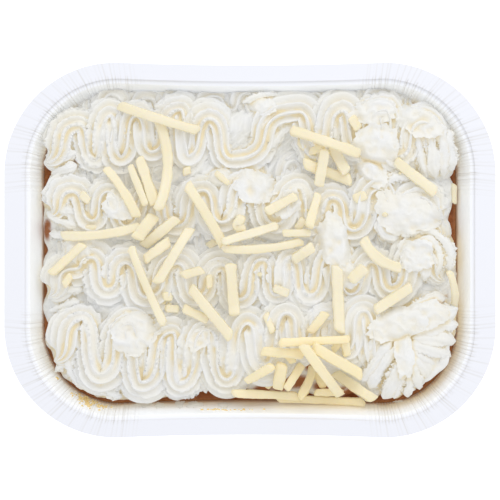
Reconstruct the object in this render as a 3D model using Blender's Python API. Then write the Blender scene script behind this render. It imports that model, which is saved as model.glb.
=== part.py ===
"""A shepherd's pie in its white pressed-board tray: a tray, a dark meat filling, a piped mash top and
grated cheese. Metres, +Z up. The origin is the middle of the underside of the tray, +X along its length."""

import math
import random

import bmesh
import bpy
import numpy as np
from mathutils.bvhtree import BVHTree

MM = 0.001

# Tray
TRAY_LENGTH = 190.0 * MM
TRAY_WIDTH = 145.0 * MM
TRAY_HEIGHT = 36.0 * MM
BOARD = 0.7 * MM
FLANGE_ENDS = 8.0 * MM
FLANGE_SIDES = 6.3 * MM
SIDE_BOW = 1.1 * MM
MOUTH_RADIUS = 36.0 * MM
STEP_DROP = 1.2 * MM
STEP_RUN = 0.5 * MM
LEDGE_WIDTH = 1.4 * MM
LEDGE_DROP = 0.2 * MM
WALL_SLOPE = math.radians(13.4)
FOOT_RADIUS = 4.0 * MM
CORNER_STEPS = 10
SIDE_STEPS = 4
FOOT_STEPS = 3
BOARD_SMOOTH_ANGLE = 35

# Filling
GAP = 0.3 * MM
FILLING_TOP = 18.5 * MM

# Mash: four rows of rope piped to and fro through a star nozzle
MASH_FOOT = FILLING_TOP + GAP
MASH_WALL_GAP = 0.4 * MM
ROPE_WIDTH = 17.5 * MM
ROPE_RISE = 8.2 * MM
ROPE_AXIS = 26.2 * MM
ROPE_LOBES = 15
LOBE_DEPTH = 0.19
LOBE_SHARPNESS = 0.8
ROW_CROWN = 1.6 * MM
LEAN = 0.22
ROW_TILT = 0.09
LEG_STEEPNESS = 0.75
LEG_SCATTER = 0.7 * MM
LEG_SEED = 7
ROW_RISE = 0.25 * MM
FLOOR_LEVEL = 24.0 * MM
FLOOR_INSET = 9.0 * MM
FIELD_STEP = 0.8 * MM
FIELD_EMPTY = 15.0 * MM
LUMP_DROP = 3.5 * MM
LUMP_FALL = 1.5
HOLLOW_DEPTH = 14.0 * MM
HOLLOW_END = 1.5
BLOCK_FOOT = 8.0 * MM
ROOM_TOP = TRAY_HEIGHT * 1.5
PATH_STEP = 0.25 * MM
MASH_KEPT = 0.115
MASH_SMOOTH_ANGLE = 60

# The turns of each row's rope, from the left end: x and y in mm
ROWS = (
    ((-78, 36), (-66, 49), (-60, 35), (-54, 52), (-50, 36), (-44, 52), (-38, 38), (-27, 54), (-24, 36),
     (-16, 51), (-7, 35), (7, 45), (20, 54), (27, 39), (36, 54), (41, 40), (52, 54), (57, 36), (67, 49),
     (75, 32)),
    ((-78, 14), (-69, 23), (-61, 11), (-55, 22), (-48, 9), (-39, 21), (-28, 9), (-18, 23), (-11, 11),
     (0, 25), (10, 10), (19, 24), (24, 9), (32, 20), (40, 8), (50, 24), (57, 9), (65, 20), (75, 11)),
    ((-78, -18), (-69, -8), (-61, -3), (-55, -15), (-48, -5), (-40, -18), (-28, -5), (-21, -18),
     (-11, -6), (-4, -19), (5, -4), (10, -17), (16, -3), (23, -18), (32, -2), (39, -17), (47, -4),
     (55, -16), (67, 0), (76, -12)),
    ((-76, -42), (-66, -29), (-58, -48), (-46, -31), (-42, -51), (-30, -32), (-27, -51), (-16, -31),
     (-9, -50), (-1, -28), (6, -44), (14, -25), (21, -37), (31, -26), (37, -39), (44, -24), (51, -47)),
)

# Smooth lumps that the nozzle pressed flat: x, y, half length, half width, turn in degrees, lift
LUMPS = (
    (-46.5, -31, 8.5, 8.0, 20, 0.6), (2, 25, 8.0, 6.5, 0, 0.8), (32.5, 3, 7.0, 12.0, 10, 1.6),
    (62, 15, 12.5, 9.0, -10, 2.2), (49.5, 39.5, 9.0, 8.5, 0, 1.8), (48.5, 53, 8.0, 5.5, 10, 1.0),
    (69, 46, 8.5, 12.0, 15, 1.4), (-50, 17, 5.5, 5.0, 0, 0.6), (67, 1, 9.0, 6.5, -15, 1.2),
    (-66, 1, 6.5, 5.5, 20, 0.4),
)

# Hollows between the ropes: x, y, half length, half width, turn in degrees, height of the floor
HOLLOWS = (
    (14, 32, 7.0, 3.5, 25, 24.0), (31, 30, 11.0, 4.5, -10, 23.0), (59, 29, 6.0, 3.5, 0, 25.0),
    (23, -50, 23.0, 9.5, 0, 20.0),
)

# The last dollop of the fourth row, with the nozzle's lobes fanned out
DOLLOP_AT = (61.0, -37.5)
DOLLOP_REACH = (21.5, 19.5)
DOLLOP_TOP = 36.6
DOLLOP_DROP = 12.0
DOLLOP_LOBES = 26
DOLLOP_LOBE_DEPTH = 1.3
DOLLOP_LOBE_GROWTH = 2.2

# Grated cheese, lowest first: the two ends x, y, x, y, then width and sideways bow, in mm
SHRED_THICKNESS = 2.4 * MM
SHRED_SEGMENTS = 5
SHRED_GAP = 0.35 * MM
SHRED_FEELERS = 17
SHRED_SLOPE = 0.45
SHRED_LIMPNESS = 0.08 / MM
SUPPORT_STEP = 0.5 * MM
SUPPORT_RAY_START = TRAY_HEIGHT * 2
SHRED_STEP = SUPPORT_STEP * 0.6
SHRED_FEWEST_POINTS = 6
SHREDS = (
    (-43, 36, -36.5, 17.5, 3.9, 0), (-46.5, 33, -40, 17, 2.7, 0), (-36, 52, -35.5, 15, 3.9, 4.0),
    (-51, 56, -19.5, 46, 3.7, -0.5), (-56, 32, -43.5, 12.5, 3.5, 1), (-64, 2.5, -77, -9.5, 3.1, 0),
    (-73, 5.5, -41.5, 9.5, 3.5, -1.5), (-28, 12.5, -41.5, 1.5, 4.0, 0), (-37, 13.5, -44, 4, 4.6, 0),
    (-31, 3.5, -41, -4, 3.7, 0), (-23, 8.5, -36, -13, 3.7, 0), (-46, 1.5, -33, -29, 3.1, -0.5),
    (-26, -22.5, -16, -27, 3.5, 0), (-23, -14.5, -7, -34, 3.9, 0), (-26.5, -10, -18, -7.5, 3.5, 0),
    (-7.5, -5, -6, -25.5, 4.2, 0), (-24.5, 25.5, -10, 1.5, 3.9, 0.5), (-3.5, 13.5, -4.5, 5.5, 3.7, 0),
    (-11, 0.5, 20.5, 3.5, 3.3, -1.5), (-11, 3, 11, 9.5, 3.3, 0), (12.5, 6.5, 23.5, 6.5, 3.0, 0),
    (26.5, 22, 22.5, 8.5, 3.4, 0), (6, 14.5, 18, 21, 3.5, 0), (20.5, 33.5, 39.5, 27, 4.0, 0),
    (31.5, 40.5, 37.5, 29.5, 4.2, 0), (29, 39, 26.5, 24.5, 4.0, 0), (15.5, 46.5, 42.5, 37, 3.9, 0),
    (56, 34.5, 72, 22, 4.2, 0), (43.5, 4.5, 58.5, -7, 4.2, -2.5), (16.5, -4, 24.5, 1.5, 3.9, 0),
    (33.5, -6, 34.5, -32, 4.2, 0), (38.5, -12, 44.5, -6.5, 4.2, 0), (48, -23.5, 62.5, -14, 3.9, 0),
    (76.5, -8, 79.5, -22, 2.7, 1), (23, -32, 29.5, -24, 3.5, 0), (10, -58, 45, -59.5, 3.2, 0),
    (12.5, -38.5, 17, -43.5, 2.7, 0), (25.5, -48, 29, -54, 2.7, 0), (25, -55.5, 36.5, -55.8, 2.7, 0),
    (33, -48, 48.5, -58.5, 3.9, 0), (4.5, -39, 21, -40, 3.7, 0), (11, -35.5, 38.5, -34.3, 3.2, 0),
    (-7, -55.5, 19.5, -57.2, 3.2, 0), (12.5, -43.5, 10.8, -53.5, 4.3, 0), (20, -44.5, 13.8, -54, 3.1, 0),
    (24.5, -46, 19, -57.5, 3.2, 0.8), (-1.5, -51, 9, -44.3, 3.3, 0), (24, -37, 43.5, -48.5, 4.0, 0),
    (20, -36, 35, -56.5, 3.8, 0),
)

# Finishes: colour, roughness
FINISHES = {
    "board": ((0.86, 0.87, 0.90), 0.55),
    "meat": ((0.20, 0.065, 0.025), 0.45),
    "mash": ((0.82, 0.79, 0.70), 0.60),
    "cheese": ((0.90, 0.76, 0.44), 0.45),
}


def clear_scene():
    for obj in list(bpy.data.objects):
        bpy.data.objects.remove(obj, do_unlink=True)


def finish(name):
    """The Principled material of that name."""
    colour, roughness = FINISHES[name]
    material = bpy.data.materials.get(name) or bpy.data.materials.new(name)
    material.use_nodes = True
    shader = material.node_tree.nodes["Principled BSDF"]
    shader.inputs["Base Color"].default_value = (*colour, 1.0)
    shader.inputs["Roughness"].default_value = roughness
    shader.inputs["Metallic"].default_value = 0.0
    return material


def add_object(name, points, faces, finish_name, smooth_angle=None):
    mesh = bpy.data.meshes.new(name)
    mesh.from_pydata([tuple(p) for p in points], [], [tuple(f) for f in faces])
    mesh.materials.append(finish(finish_name))
    if smooth_angle is not None:
        mesh.shade_smooth()
        mesh.set_sharp_from_angle(angle=math.radians(smooth_angle))
    obj = bpy.data.objects.new(name, mesh)
    bpy.context.scene.collection.objects.link(obj)
    return obj


def outline(half_x, half_y, radius):
    """Points anticlockwise round a rectangle with round corners, its long sides bowed inwards."""
    points = []
    for corner, (sign_x, sign_y) in enumerate(((1, 1), (-1, 1), (-1, -1), (1, -1))):
        centre_x = sign_x * (half_x - radius)
        centre_y = sign_y * (half_y - radius)
        for step in range(CORNER_STEPS + 1):
            angle = (corner + step / CORNER_STEPS) * math.pi / 2
            points.append((centre_x + radius * math.cos(angle), centre_y + radius * math.sin(angle)))
    ring = []
    for index, point in enumerate(points):
        ring.append(point)
        if index % (CORNER_STEPS + 1) == CORNER_STEPS:
            after = points[(index + 1) % len(points)]
            for step in range(1, SIDE_STEPS):
                share = step / SIDE_STEPS
                ring.append(tuple(a + (b - a) * share for a, b in zip(point, after)))
    ring = np.array(ring)
    straight = half_x - radius
    bow = SIDE_BOW * np.clip(1 - (ring[:, 0] / straight) ** 2, 0, None)
    ring[:, 1] *= 1 - bow / half_y
    return ring


def mouth_ring(inset, height):
    """The outline that lies this far inside the inner edge of the flange, at this height."""
    half_x = TRAY_LENGTH / 2 - FLANGE_ENDS - inset
    half_y = TRAY_WIDTH / 2 - FLANGE_SIDES - inset
    ring = outline(half_x, half_y, MOUTH_RADIUS - inset)
    return np.column_stack([ring, np.full(len(ring), height)])


def wall_profile():
    """The inner face of the tray from the flange to the floor, as pairs of inset and height."""
    ledge_height = TRAY_HEIGHT - STEP_DROP - LEDGE_DROP
    wall_top = (STEP_RUN + LEDGE_WIDTH, ledge_height)
    foot_height = BOARD + FOOT_RADIUS * (1 - math.sin(WALL_SLOPE))
    wall_foot = (wall_top[0] + (ledge_height - foot_height) * math.tan(WALL_SLOPE), foot_height)
    profile = [(0.0, TRAY_HEIGHT), (STEP_RUN, TRAY_HEIGHT - STEP_DROP), wall_top, wall_foot]
    centre_inset = wall_foot[0] + FOOT_RADIUS * math.cos(WALL_SLOPE)
    for step in range(1, FOOT_STEPS + 1):
        angle = WALL_SLOPE + (math.pi / 2 - WALL_SLOPE) * step / FOOT_STEPS
        profile.append((centre_inset - FOOT_RADIUS * math.cos(angle),
                        BOARD + FOOT_RADIUS * (1 - math.sin(angle))))
    return profile


def offset_profile(profile, distance):
    """The profile moved out of the tray by the distance, square to itself."""
    pairs = np.array(profile)
    runs = np.diff(pairs, axis=0)
    runs /= np.linalg.norm(runs, axis=1)[:, None]
    along = np.vstack([[1.0, 0.0], runs, [1.0, 0.0]])
    before = along[:-1]
    after = along[1:]
    normal = np.column_stack([before[:, 1] + after[:, 1], -before[:, 0] - after[:, 0]])
    length = np.linalg.norm(normal, axis=1)
    normal /= length[:, None]
    stretch = 2 / length
    return pairs + normal * (distance * stretch)[:, None]


def wall_inset(height):
    """How far inside the mouth the sloping wall is at this height."""
    top = wall_profile()[2]
    return top[0] + (top[1] - height) * math.tan(WALL_SLOPE)


def skin(rings):
    """Points and faces of a closed solid whose surface runs through the rings, with a flat face at each end."""
    count = len(rings[0])
    points = np.vstack(rings)
    faces = [tuple(range(count))[::-1]]
    for level in range(len(rings) - 1):
        for index in range(count):
            after = (index + 1) % count
            faces.append((level * count + index, level * count + after,
                          (level + 1) * count + after, (level + 1) * count + index))
    faces.append(tuple((len(rings) - 1) * count + index for index in range(count)))
    return points, faces


def flange_ring(height):
    ring = outline(TRAY_LENGTH / 2, TRAY_WIDTH / 2, MOUTH_RADIUS + (FLANGE_ENDS + FLANGE_SIDES) / 2)
    return np.column_stack([ring, np.full(len(ring), height)])


def make_tray():
    inner = wall_profile()
    outer = offset_profile(inner, BOARD)
    rings = [mouth_ring(inset, height) for inset, height in outer[::-1]]
    rings.append(flange_ring(TRAY_HEIGHT - BOARD))
    rings.append(flange_ring(TRAY_HEIGHT))
    rings.extend(mouth_ring(inset, height) for inset, height in inner)
    points, faces = skin(rings)
    return add_object("tray", points, faces, "board", smooth_angle=BOARD_SMOOTH_ANGLE)


def make_filling():
    levels = [(inset + GAP, height + GAP) for inset, height in wall_profile()[:2:-1]]
    levels.append((wall_inset(FILLING_TOP) + GAP, FILLING_TOP))
    points, faces = skin([mouth_ring(inset, height) for inset, height in levels])
    return add_object("filling", points, faces, "meat", smooth_angle=BOARD_SMOOTH_ANGLE)


def rope_line(turns, draw):
    """Centre line of one row: cosine legs between its turns, bunched so that legs run steeply and turns are
    round. Gives x, y, the rope's own height above its axis level, and the direction of travel."""
    xs, ys, lifts = [], [], []
    middle = sum(y for _, y in turns) / len(turns)
    reach = max(abs(y - middle) for _, y in turns)
    leg_lifts = [draw.uniform(-1, 1) * LEG_SCATTER for _ in turns]
    for (start, end), (lift, next_lift) in zip(zip(turns, turns[1:]), zip(leg_lifts, leg_lifts[1:])):
        length = math.dist(start, end) * MM
        share = np.arange(0, 1, PATH_STEP / length)
        eased = (1 - np.cos(np.pi * share)) / 2
        bunched = share + LEG_STEEPNESS * np.sin(2 * np.pi * share) / (2 * np.pi)
        xs.append(start[0] + (end[0] - start[0]) * bunched)
        ys.append(start[1] + (end[1] - start[1]) * eased)
        crown = ROW_CROWN * (1 - ((ys[-1] - middle) / reach) ** 2)
        tilt = ROW_TILT * (ys[-1] - middle) * MM
        lifts.append(lift + (next_lift - lift) * eased + crown + tilt)
    x = np.concatenate(xs) * MM
    y = np.concatenate(ys) * MM
    heading = np.arctan2(np.gradient(y), np.gradient(x))
    return x, y, np.concatenate(lifts), heading


def rope_surface(x, y, lift, heading, axis):
    """Upper half of a rope carried along its line. Its section is a half ellipse cut by the nozzle's lobes,
    and it leans back onto the leg before it."""
    angle = np.arange(-math.pi / 2, math.pi / 2, PATH_STEP / (ROPE_WIDTH / 2))
    lobes = 1 - LOBE_DEPTH * (1 - np.abs(np.cos(ROPE_LOBES * angle / 2)) ** LOBE_SHARPNESS)
    across = ROPE_WIDTH / 2 * lobes * np.sin(angle)
    above = ROPE_RISE * lobes * np.cos(angle)
    side_x = -np.sin(heading)[:, None] * across
    side_y = np.cos(heading)[:, None] * across
    height = axis + lift[:, None] + above - LEAN * side_x
    return x[:, None] + side_x, y[:, None] + side_y, height


def field_axes():
    half_x = TRAY_LENGTH / 2 - FLANGE_ENDS
    half_y = TRAY_WIDTH / 2 - FLANGE_SIDES
    return (np.arange(-half_x, half_x + FIELD_STEP, FIELD_STEP),
            np.arange(-half_y, half_y + FIELD_STEP, FIELD_STEP))


def lay(field, xs, ys, x, y, height):
    """Raises the field to the surface wherever the surface is higher."""
    column = np.round((x - xs[0]) / FIELD_STEP).astype(int)
    row = np.round((y - ys[0]) / FIELD_STEP).astype(int)
    inside = (column >= 0) & (column < len(xs)) & (row >= 0) & (row < len(ys))
    np.maximum.at(field, (column[inside], row[inside]), height[inside])


def inset_at(x, y):
    """How far a point lies inside the mouth outline."""
    over_x = np.abs(x) - (TRAY_LENGTH / 2 - FLANGE_ENDS - MOUTH_RADIUS)
    over_y = np.abs(y) - (TRAY_WIDTH / 2 - FLANGE_SIDES - MOUTH_RADIUS)
    outside = np.hypot(np.maximum(over_x, 0), np.maximum(over_y, 0))
    return MOUTH_RADIUS - outside - np.minimum(np.maximum(over_x, over_y), 0)


def oval_spread(x, y, oval):
    """Square of the distance from the middle of a turned oval, which is 1 on its edge."""
    centre_x, centre_y, long, wide, turn, _ = oval
    turn = math.radians(turn)
    east = x - centre_x * MM
    north = y - centre_y * MM
    along = (east * math.cos(turn) + north * math.sin(turn)) / (long * MM)
    aside = (north * math.cos(turn) - east * math.sin(turn)) / (wide * MM)
    return along ** 2 + aside ** 2


def lump_heights(x, y, field, lump):
    """A low smooth cap over the ropes: highest at its middle, falling off as a parabola."""
    top = ROPE_AXIS + ROPE_RISE + ROW_CROWN + lump[5] * MM
    spread = oval_spread(x, y, lump)
    cap = top - LUMP_DROP * spread ** LUMP_FALL
    return np.where(spread < 1, np.maximum(field, cap), field)


def hollow_heights(x, y, field, hollow):
    """A bowl sunk between the ropes: flat at its middle, rising ever more steeply to its rim."""
    floor = hollow[5] * MM
    spread = oval_spread(x, y, hollow)
    return np.where(spread < HOLLOW_END, np.minimum(field, floor + HOLLOW_DEPTH * spread ** 2), field)


def dollop_heights(x, y, field):
    """A round heap with lobes that fan out from its middle."""
    east = (x / MM - DOLLOP_AT[0]) / DOLLOP_REACH[0]
    north = (y / MM - DOLLOP_AT[1]) / DOLLOP_REACH[1]
    spread = np.hypot(east, north)
    lobes = 1 - np.abs(np.cos(DOLLOP_LOBES * np.arctan2(north, east) / 2)) ** LOBE_SHARPNESS
    depth = DOLLOP_LOBE_DEPTH * np.clip(spread * DOLLOP_LOBE_GROWTH, 0, 1)
    heap = DOLLOP_TOP - DOLLOP_DROP * (1 - np.sqrt(np.clip(1 - spread ** 2, 0, 1))) - depth * lobes
    return np.where(spread < 1, np.maximum(field, heap * MM), field)


def softened(field):
    """The field averaged once with its neighbours."""
    padded = np.pad(field, 1, mode="edge")
    return (padded[:-2, 1:-1] + padded[2:, 1:-1] + padded[1:-1, :-2] + padded[1:-1, 2:]
            + 4 * padded[1:-1, 1:-1]) / 8


def mash_field():
    xs, ys = field_axes()
    x, y = np.meshgrid(xs, ys, indexing="ij")
    field = np.where(inset_at(x, y) > FLOOR_INSET, FLOOR_LEVEL, FIELD_EMPTY)
    draw = random.Random(LEG_SEED)
    for number, turns in enumerate(ROWS):
        line = rope_line(turns, draw)
        lay(field, xs, ys, *rope_surface(*line, ROPE_AXIS + number * ROW_RISE))
    for lump in LUMPS:
        field = lump_heights(x, y, field, lump)
    field = dollop_heights(x, y, field)
    for hollow in HOLLOWS:
        field = hollow_heights(x, y, field, hollow)
    return xs, ys, softened(field)


def field_solid(xs, ys, field, foot):
    """Points and faces of the block under a field of heights, down to a flat foot."""
    columns, rows = field.shape
    x, y = np.meshgrid(xs, ys, indexing="ij")
    top = np.column_stack([x.ravel(), y.ravel(), field.ravel()])
    index = np.arange(columns * rows).reshape(columns, rows)
    quads = np.stack([index[:-1, :-1], index[1:, :-1], index[1:, 1:], index[:-1, 1:]], axis=-1).reshape(-1, 4)
    rim = np.concatenate([index[:, 0], index[-1, 1:], index[-2::-1, -1], index[0, -2:0:-1]])
    base = len(top) + np.arange(len(rim))
    bottom = top[rim].copy()
    bottom[:, 2] = foot
    walls = np.stack([rim, base, np.roll(base, -1), np.roll(rim, -1)], axis=-1)
    faces = [tuple(f) for f in quads.tolist()] + [tuple(f) for f in walls.tolist()]
    faces.append(tuple(base[::-1].tolist()))
    return np.vstack([top, bottom]), faces


def apply_modifiers(obj):
    """Makes the evaluated shape the object's own mesh."""
    graph = bpy.context.evaluated_depsgraph_get()
    mesh = bpy.data.meshes.new_from_object(obj.evaluated_get(graph))
    obj.modifiers.clear()
    obj.data = mesh


def keep_largest_body(obj):
    """Drops loose scraps, so that one connected body is left."""
    work = bmesh.new()
    work.from_mesh(obj.data)
    unseen = set(work.verts)
    bodies = []
    while unseen:
        body = {unseen.pop()}
        edge = list(body)
        while edge:
            near = {e.other_vert(v) for v in edge for e in v.link_edges} & unseen
            unseen -= near
            body |= near
            edge = list(near)
        bodies.append(body)
    bodies.sort(key=len)
    for body in bodies[:-1]:
        bmesh.ops.delete(work, geom=list(body), context="VERTS")
    work.to_mesh(obj.data)
    work.free()


def make_mash():
    """The piped block, thinned to few faces, then cut to the room inside the tray above the filling."""
    points, faces = field_solid(*mash_field(), BLOCK_FOOT)
    mash = add_object("mash", points, faces, "mash")
    thin = mash.modifiers.new("thin", "DECIMATE")
    thin.ratio = MASH_KEPT
    apply_modifiers(mash)
    room_foot = mouth_ring(wall_inset(MASH_FOOT) + MASH_WALL_GAP, MASH_FOOT)
    ledge = wall_profile()[2]
    room_shoulder = mouth_ring(ledge[0] + MASH_WALL_GAP, ledge[1])
    room_top = mouth_ring(ledge[0] + MASH_WALL_GAP, ROOM_TOP)
    room_points, room_faces = skin([room_foot, room_shoulder, room_top])
    room = add_object("mash_room", room_points, room_faces, "mash")
    room.hide_render = True
    room.display_type = "WIRE"
    cut = mash.modifiers.new("cut to room", "BOOLEAN")
    cut.operation = "INTERSECT"
    cut.object = room
    apply_modifiers(mash)
    keep_largest_body(mash)
    mash.data.shade_smooth()
    mash.data.set_sharp_from_angle(angle=math.radians(MASH_SMOOTH_ANGLE))
    return mash


def support_map(mash):
    """Heights that cheese can rest on: the mash, the filling round it and the wall of the tray."""
    xs = np.arange(-TRAY_LENGTH / 2, TRAY_LENGTH / 2, SUPPORT_STEP)
    ys = np.arange(-TRAY_WIDTH / 2, TRAY_WIDTH / 2, SUPPORT_STEP)
    x, y = np.meshgrid(xs, ys, indexing="ij")
    inset = inset_at(x, y)
    ledge = wall_profile()[2]
    wall = ledge[1] - (inset - ledge[0]) / math.tan(WALL_SLOPE)
    support = np.maximum(np.where(inset < ledge[0], TRAY_HEIGHT, wall), FILLING_TOP)
    tree = BVHTree.FromObject(mash, bpy.context.evaluated_depsgraph_get())
    for column, x_here in enumerate(xs):
        for row, y_here in enumerate(ys):
            hit = tree.ray_cast((x_here, y_here, SUPPORT_RAY_START), (0, 0, -1))[0]
            if hit is not None and hit.z > support[column, row]:
                support[column, row] = hit.z
    return xs, ys, support


def shred_line(shred):
    """The middle line of a shred seen from above, its travel along that line, and the way across it."""
    x0, y0, x1, y1, _, bow = (value * MM for value in shred)
    length = math.hypot(x1 - x0, y1 - y0)
    count = max(SHRED_FEWEST_POINTS, int(length / SHRED_STEP))
    share = np.linspace(0, 1, count)
    across_x = -(y1 - y0) / length
    across_y = (x1 - x0) / length
    aside = bow * 4 * share * (1 - share)
    x = x0 + (x1 - x0) * share + across_x * aside
    y = y0 + (y1 - y0) * share + across_y * aside
    return x, y, share * length, across_x, across_y


def resting_slope(travel, heights):
    """Slope of the straight line over the two highest supports on either side of the middle, which is the
    edge of the upper convex hull that spans it, kept to what cheese would lie at."""
    hull = []
    for point in zip(travel, heights):
        while len(hull) > 1:
            (x0, z0), (x1, z1) = hull[-2], hull[-1]
            if (z1 - z0) * (point[0] - x0) > (point[1] - z0) * (x1 - x0):
                break
            hull.pop()
        hull.append(point)
    middle = (travel[0] + travel[-1]) / 2
    edges = [(start, end) for start, end in zip(hull, hull[1:]) if end[0] >= middle]
    (x0, z0), (x1, z1) = edges[0]
    return float(np.clip((z1 - z0) / (x1 - x0), -SHRED_SLOPE, SHRED_SLOPE))


def draped_line(travel, heights):
    """Underside of a shred: the resting line where it is low, and elsewhere a limp curve that falls off each
    support as a parabola. It is straight between a few joints and nowhere below its support."""
    slope = resting_slope(travel, heights)
    straight = slope * travel + (heights - slope * travel).max()
    limp = (heights - SHRED_LIMPNESS * (travel[:, None] - travel) ** 2).max(axis=1)
    joints = np.linspace(travel[0], travel[-1], SHRED_SEGMENTS + 1)
    line = np.interp(joints, travel, np.minimum(straight, limp))
    line[1:-1] = (line[:-2] + 2 * line[1:-1] + line[2:]) / 4
    line += (heights - np.interp(travel, joints, line)).max()
    return np.interp(travel, joints, line)


def cells(values, axis):
    return np.clip(np.round((values - axis[0]) / SUPPORT_STEP).astype(int), 0, len(axis) - 1)


def drop_shred(shred, xs, ys, support):
    """Lays one shred on what is under it and adds it to the support. Gives its underside line."""
    x, y, travel, across_x, across_y = shred_line(shred)
    width = shred[4] * MM
    reach = np.linspace(-1, 1, SHRED_FEELERS) * (width + SUPPORT_STEP) / 2
    columns = cells(x[:, None] + across_x * reach, xs)
    rows = cells(y[:, None] + across_y * reach, ys)
    under = support[columns, rows].max(axis=1)
    line = draped_line(travel, under)
    rise = np.hypot(1, np.gradient(line, travel))
    line = line + SHRED_GAP * rise
    top = line + (SHRED_THICKNESS + SHRED_GAP) * rise
    np.maximum.at(support, (columns, rows), np.broadcast_to(top[:, None], columns.shape))
    return x, y, line, rise, across_x, across_y


def make_shred(name, shred, xs, ys, support):
    """A bent bar with four sides: its section carried along the line it rests on."""
    x, y, line, rise, across_x, across_y = drop_shred(shred, xs, ys, support)
    half = shred[4] * MM / 2
    rings = []
    for pick in np.round(np.linspace(0, len(x) - 1, SHRED_SEGMENTS + 1)).astype(int):
        low = line[pick]
        high = low + SHRED_THICKNESS * rise[pick]
        right = (x[pick] - across_x * half, y[pick] - across_y * half)
        left = (x[pick] + across_x * half, y[pick] + across_y * half)
        rings.append(np.array([(*right, low), (*left, low), (*left, high), (*right, high)]))
    return add_object(name, *skin(rings), "cheese")


def make_cheese(mash):
    xs, ys, support = support_map(mash)
    for number, shred in enumerate(SHREDS, 1):
        make_shred(f"cheese_{number:02d}", shred, xs, ys, support)


def main():
    clear_scene()
    make_tray()
    make_filling()
    make_cheese(make_mash())


main()
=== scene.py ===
"""Looks of a shepherd's pie in its white pressed-board tray, laid out as an add-on and run as a script.
Metres, +Z up, +X along the tray. Places that are given in mm are measured from the middle of the tray."""

import math

import bpy
import numpy as np
from bpy.props import FloatProperty, FloatVectorProperty, IntProperty, PointerProperty
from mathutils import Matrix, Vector


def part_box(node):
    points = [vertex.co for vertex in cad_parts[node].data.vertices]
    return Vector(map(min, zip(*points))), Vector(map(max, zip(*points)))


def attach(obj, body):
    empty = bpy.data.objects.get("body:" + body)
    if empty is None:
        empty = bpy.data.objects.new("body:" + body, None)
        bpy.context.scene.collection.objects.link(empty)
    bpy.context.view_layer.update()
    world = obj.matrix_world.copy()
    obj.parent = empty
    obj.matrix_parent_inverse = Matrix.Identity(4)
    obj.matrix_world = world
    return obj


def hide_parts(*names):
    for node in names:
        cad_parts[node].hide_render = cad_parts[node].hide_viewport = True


bl_info = {
    "name": "Shepherd's Pie",
    "version": (1, 0, 0),
    "blender": (4, 5, 0),
    "location": "3D View > Sidebar > Pie",
    "description": "Builds the tray, filling, piped mash and grated cheese of a shepherd's pie",
    "category": "Object",
}

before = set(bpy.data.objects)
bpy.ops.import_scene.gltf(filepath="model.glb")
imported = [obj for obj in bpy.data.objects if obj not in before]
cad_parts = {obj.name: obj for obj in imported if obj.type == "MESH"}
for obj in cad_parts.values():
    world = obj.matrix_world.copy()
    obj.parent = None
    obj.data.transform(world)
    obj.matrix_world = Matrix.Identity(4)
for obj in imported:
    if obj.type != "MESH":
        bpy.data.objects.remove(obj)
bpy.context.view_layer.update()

MM = 0.001

# Tray, read from the frame where it gives it
TRAY_LOW, TRAY_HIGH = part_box("tray")
TRAY_LENGTH = TRAY_HIGH.x - TRAY_LOW.x
TRAY_WIDTH = TRAY_HIGH.y - TRAY_LOW.y
TRAY_HEIGHT = TRAY_HIGH.z - TRAY_LOW.z
BOARD = 0.7 * MM
FLANGE_ENDS = 8.0 * MM
FLANGE_SIDES = 6.3 * MM
SIDE_BOW = 1.1 * MM
MOUTH_RADIUS = 36.0 * MM
STEP_DROP = 1.2 * MM
STEP_RUN = 0.5 * MM
LEDGE_WIDTH = 1.4 * MM
LEDGE_DROP = 0.2 * MM
WALL_SLOPE = math.radians(13.4)
FOOT_RADIUS = 4.0 * MM
MOUTH_X = TRAY_LENGTH / 2 - FLANGE_ENDS
MOUTH_Y = TRAY_WIDTH / 2 - FLANGE_SIDES

# How far rings move inwards square to the outline, as a share of the corner's radius: board and food
CORNER_SHARE = 0.93
FOOD_SHARE = 0.9

# Columns of the tray: round a corner, along the pleats on each side of it, and along the rest of a side
CORNER_COLUMNS = 180
PLEAT_COLUMNS = 36
SIDE_COLUMNS = 16

# Pleats: reach past a corner, pitch, depth, width, uneven spacing, share on the flange, and steps between them
PLEAT_RUN = 12.0 * MM
PLEAT_PITCH = 1.25 * MM
PLEAT_DEPTH = 0.26 * MM
PLEAT_HALF_WIDTH = 0.22 * MM
PLEAT_SCATTER = 0.32
PLEATS_ON_FLANGE = 0.62
BOARD_STEPS = 0.10 * MM

# Rows of the tray: insets on the floor in mm, start and number on the flange, share and drop in mm at its rim
FLOOR_RINGS = (60, 45, 30, 20, 14)
FLANGE_START = -1.2 * MM
FLANGE_ROWS = 10
RIM_ROWS = ((0.985, 0.06), (1.0, 0.22), (1.0, 0.5), (0.985, 0.68))

# Heights that the frame gives, and how far the food stays clear of the wall
FILLING_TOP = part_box("filling")[1].z
MASH_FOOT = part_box("mash")[0].z
WALL_CLEARANCE = 0.35 * MM

# Path of a rope: axis, unequal legs, crown, rise and tilt of a row, lean, steepness, squeeze in turns, tips
ROPE_AXIS = 26.2 * MM
LEG_SCATTER = 0.7 * MM
ROW_CROWN = 1.6 * MM
ROW_RISE = 0.25 * MM
ROW_TILT = 0.09
LEAN = 0.22
LEG_STEEPNESS = 0.75
SQUEEZE = 1.5
ROPE_TIP = 1.25
ROPE_STEP = 0.42 * MM
ROPE_COLUMNS = 85
BACKING_AXIS = 20.5 * MM
BACKING_PITCH = 6.5

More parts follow.
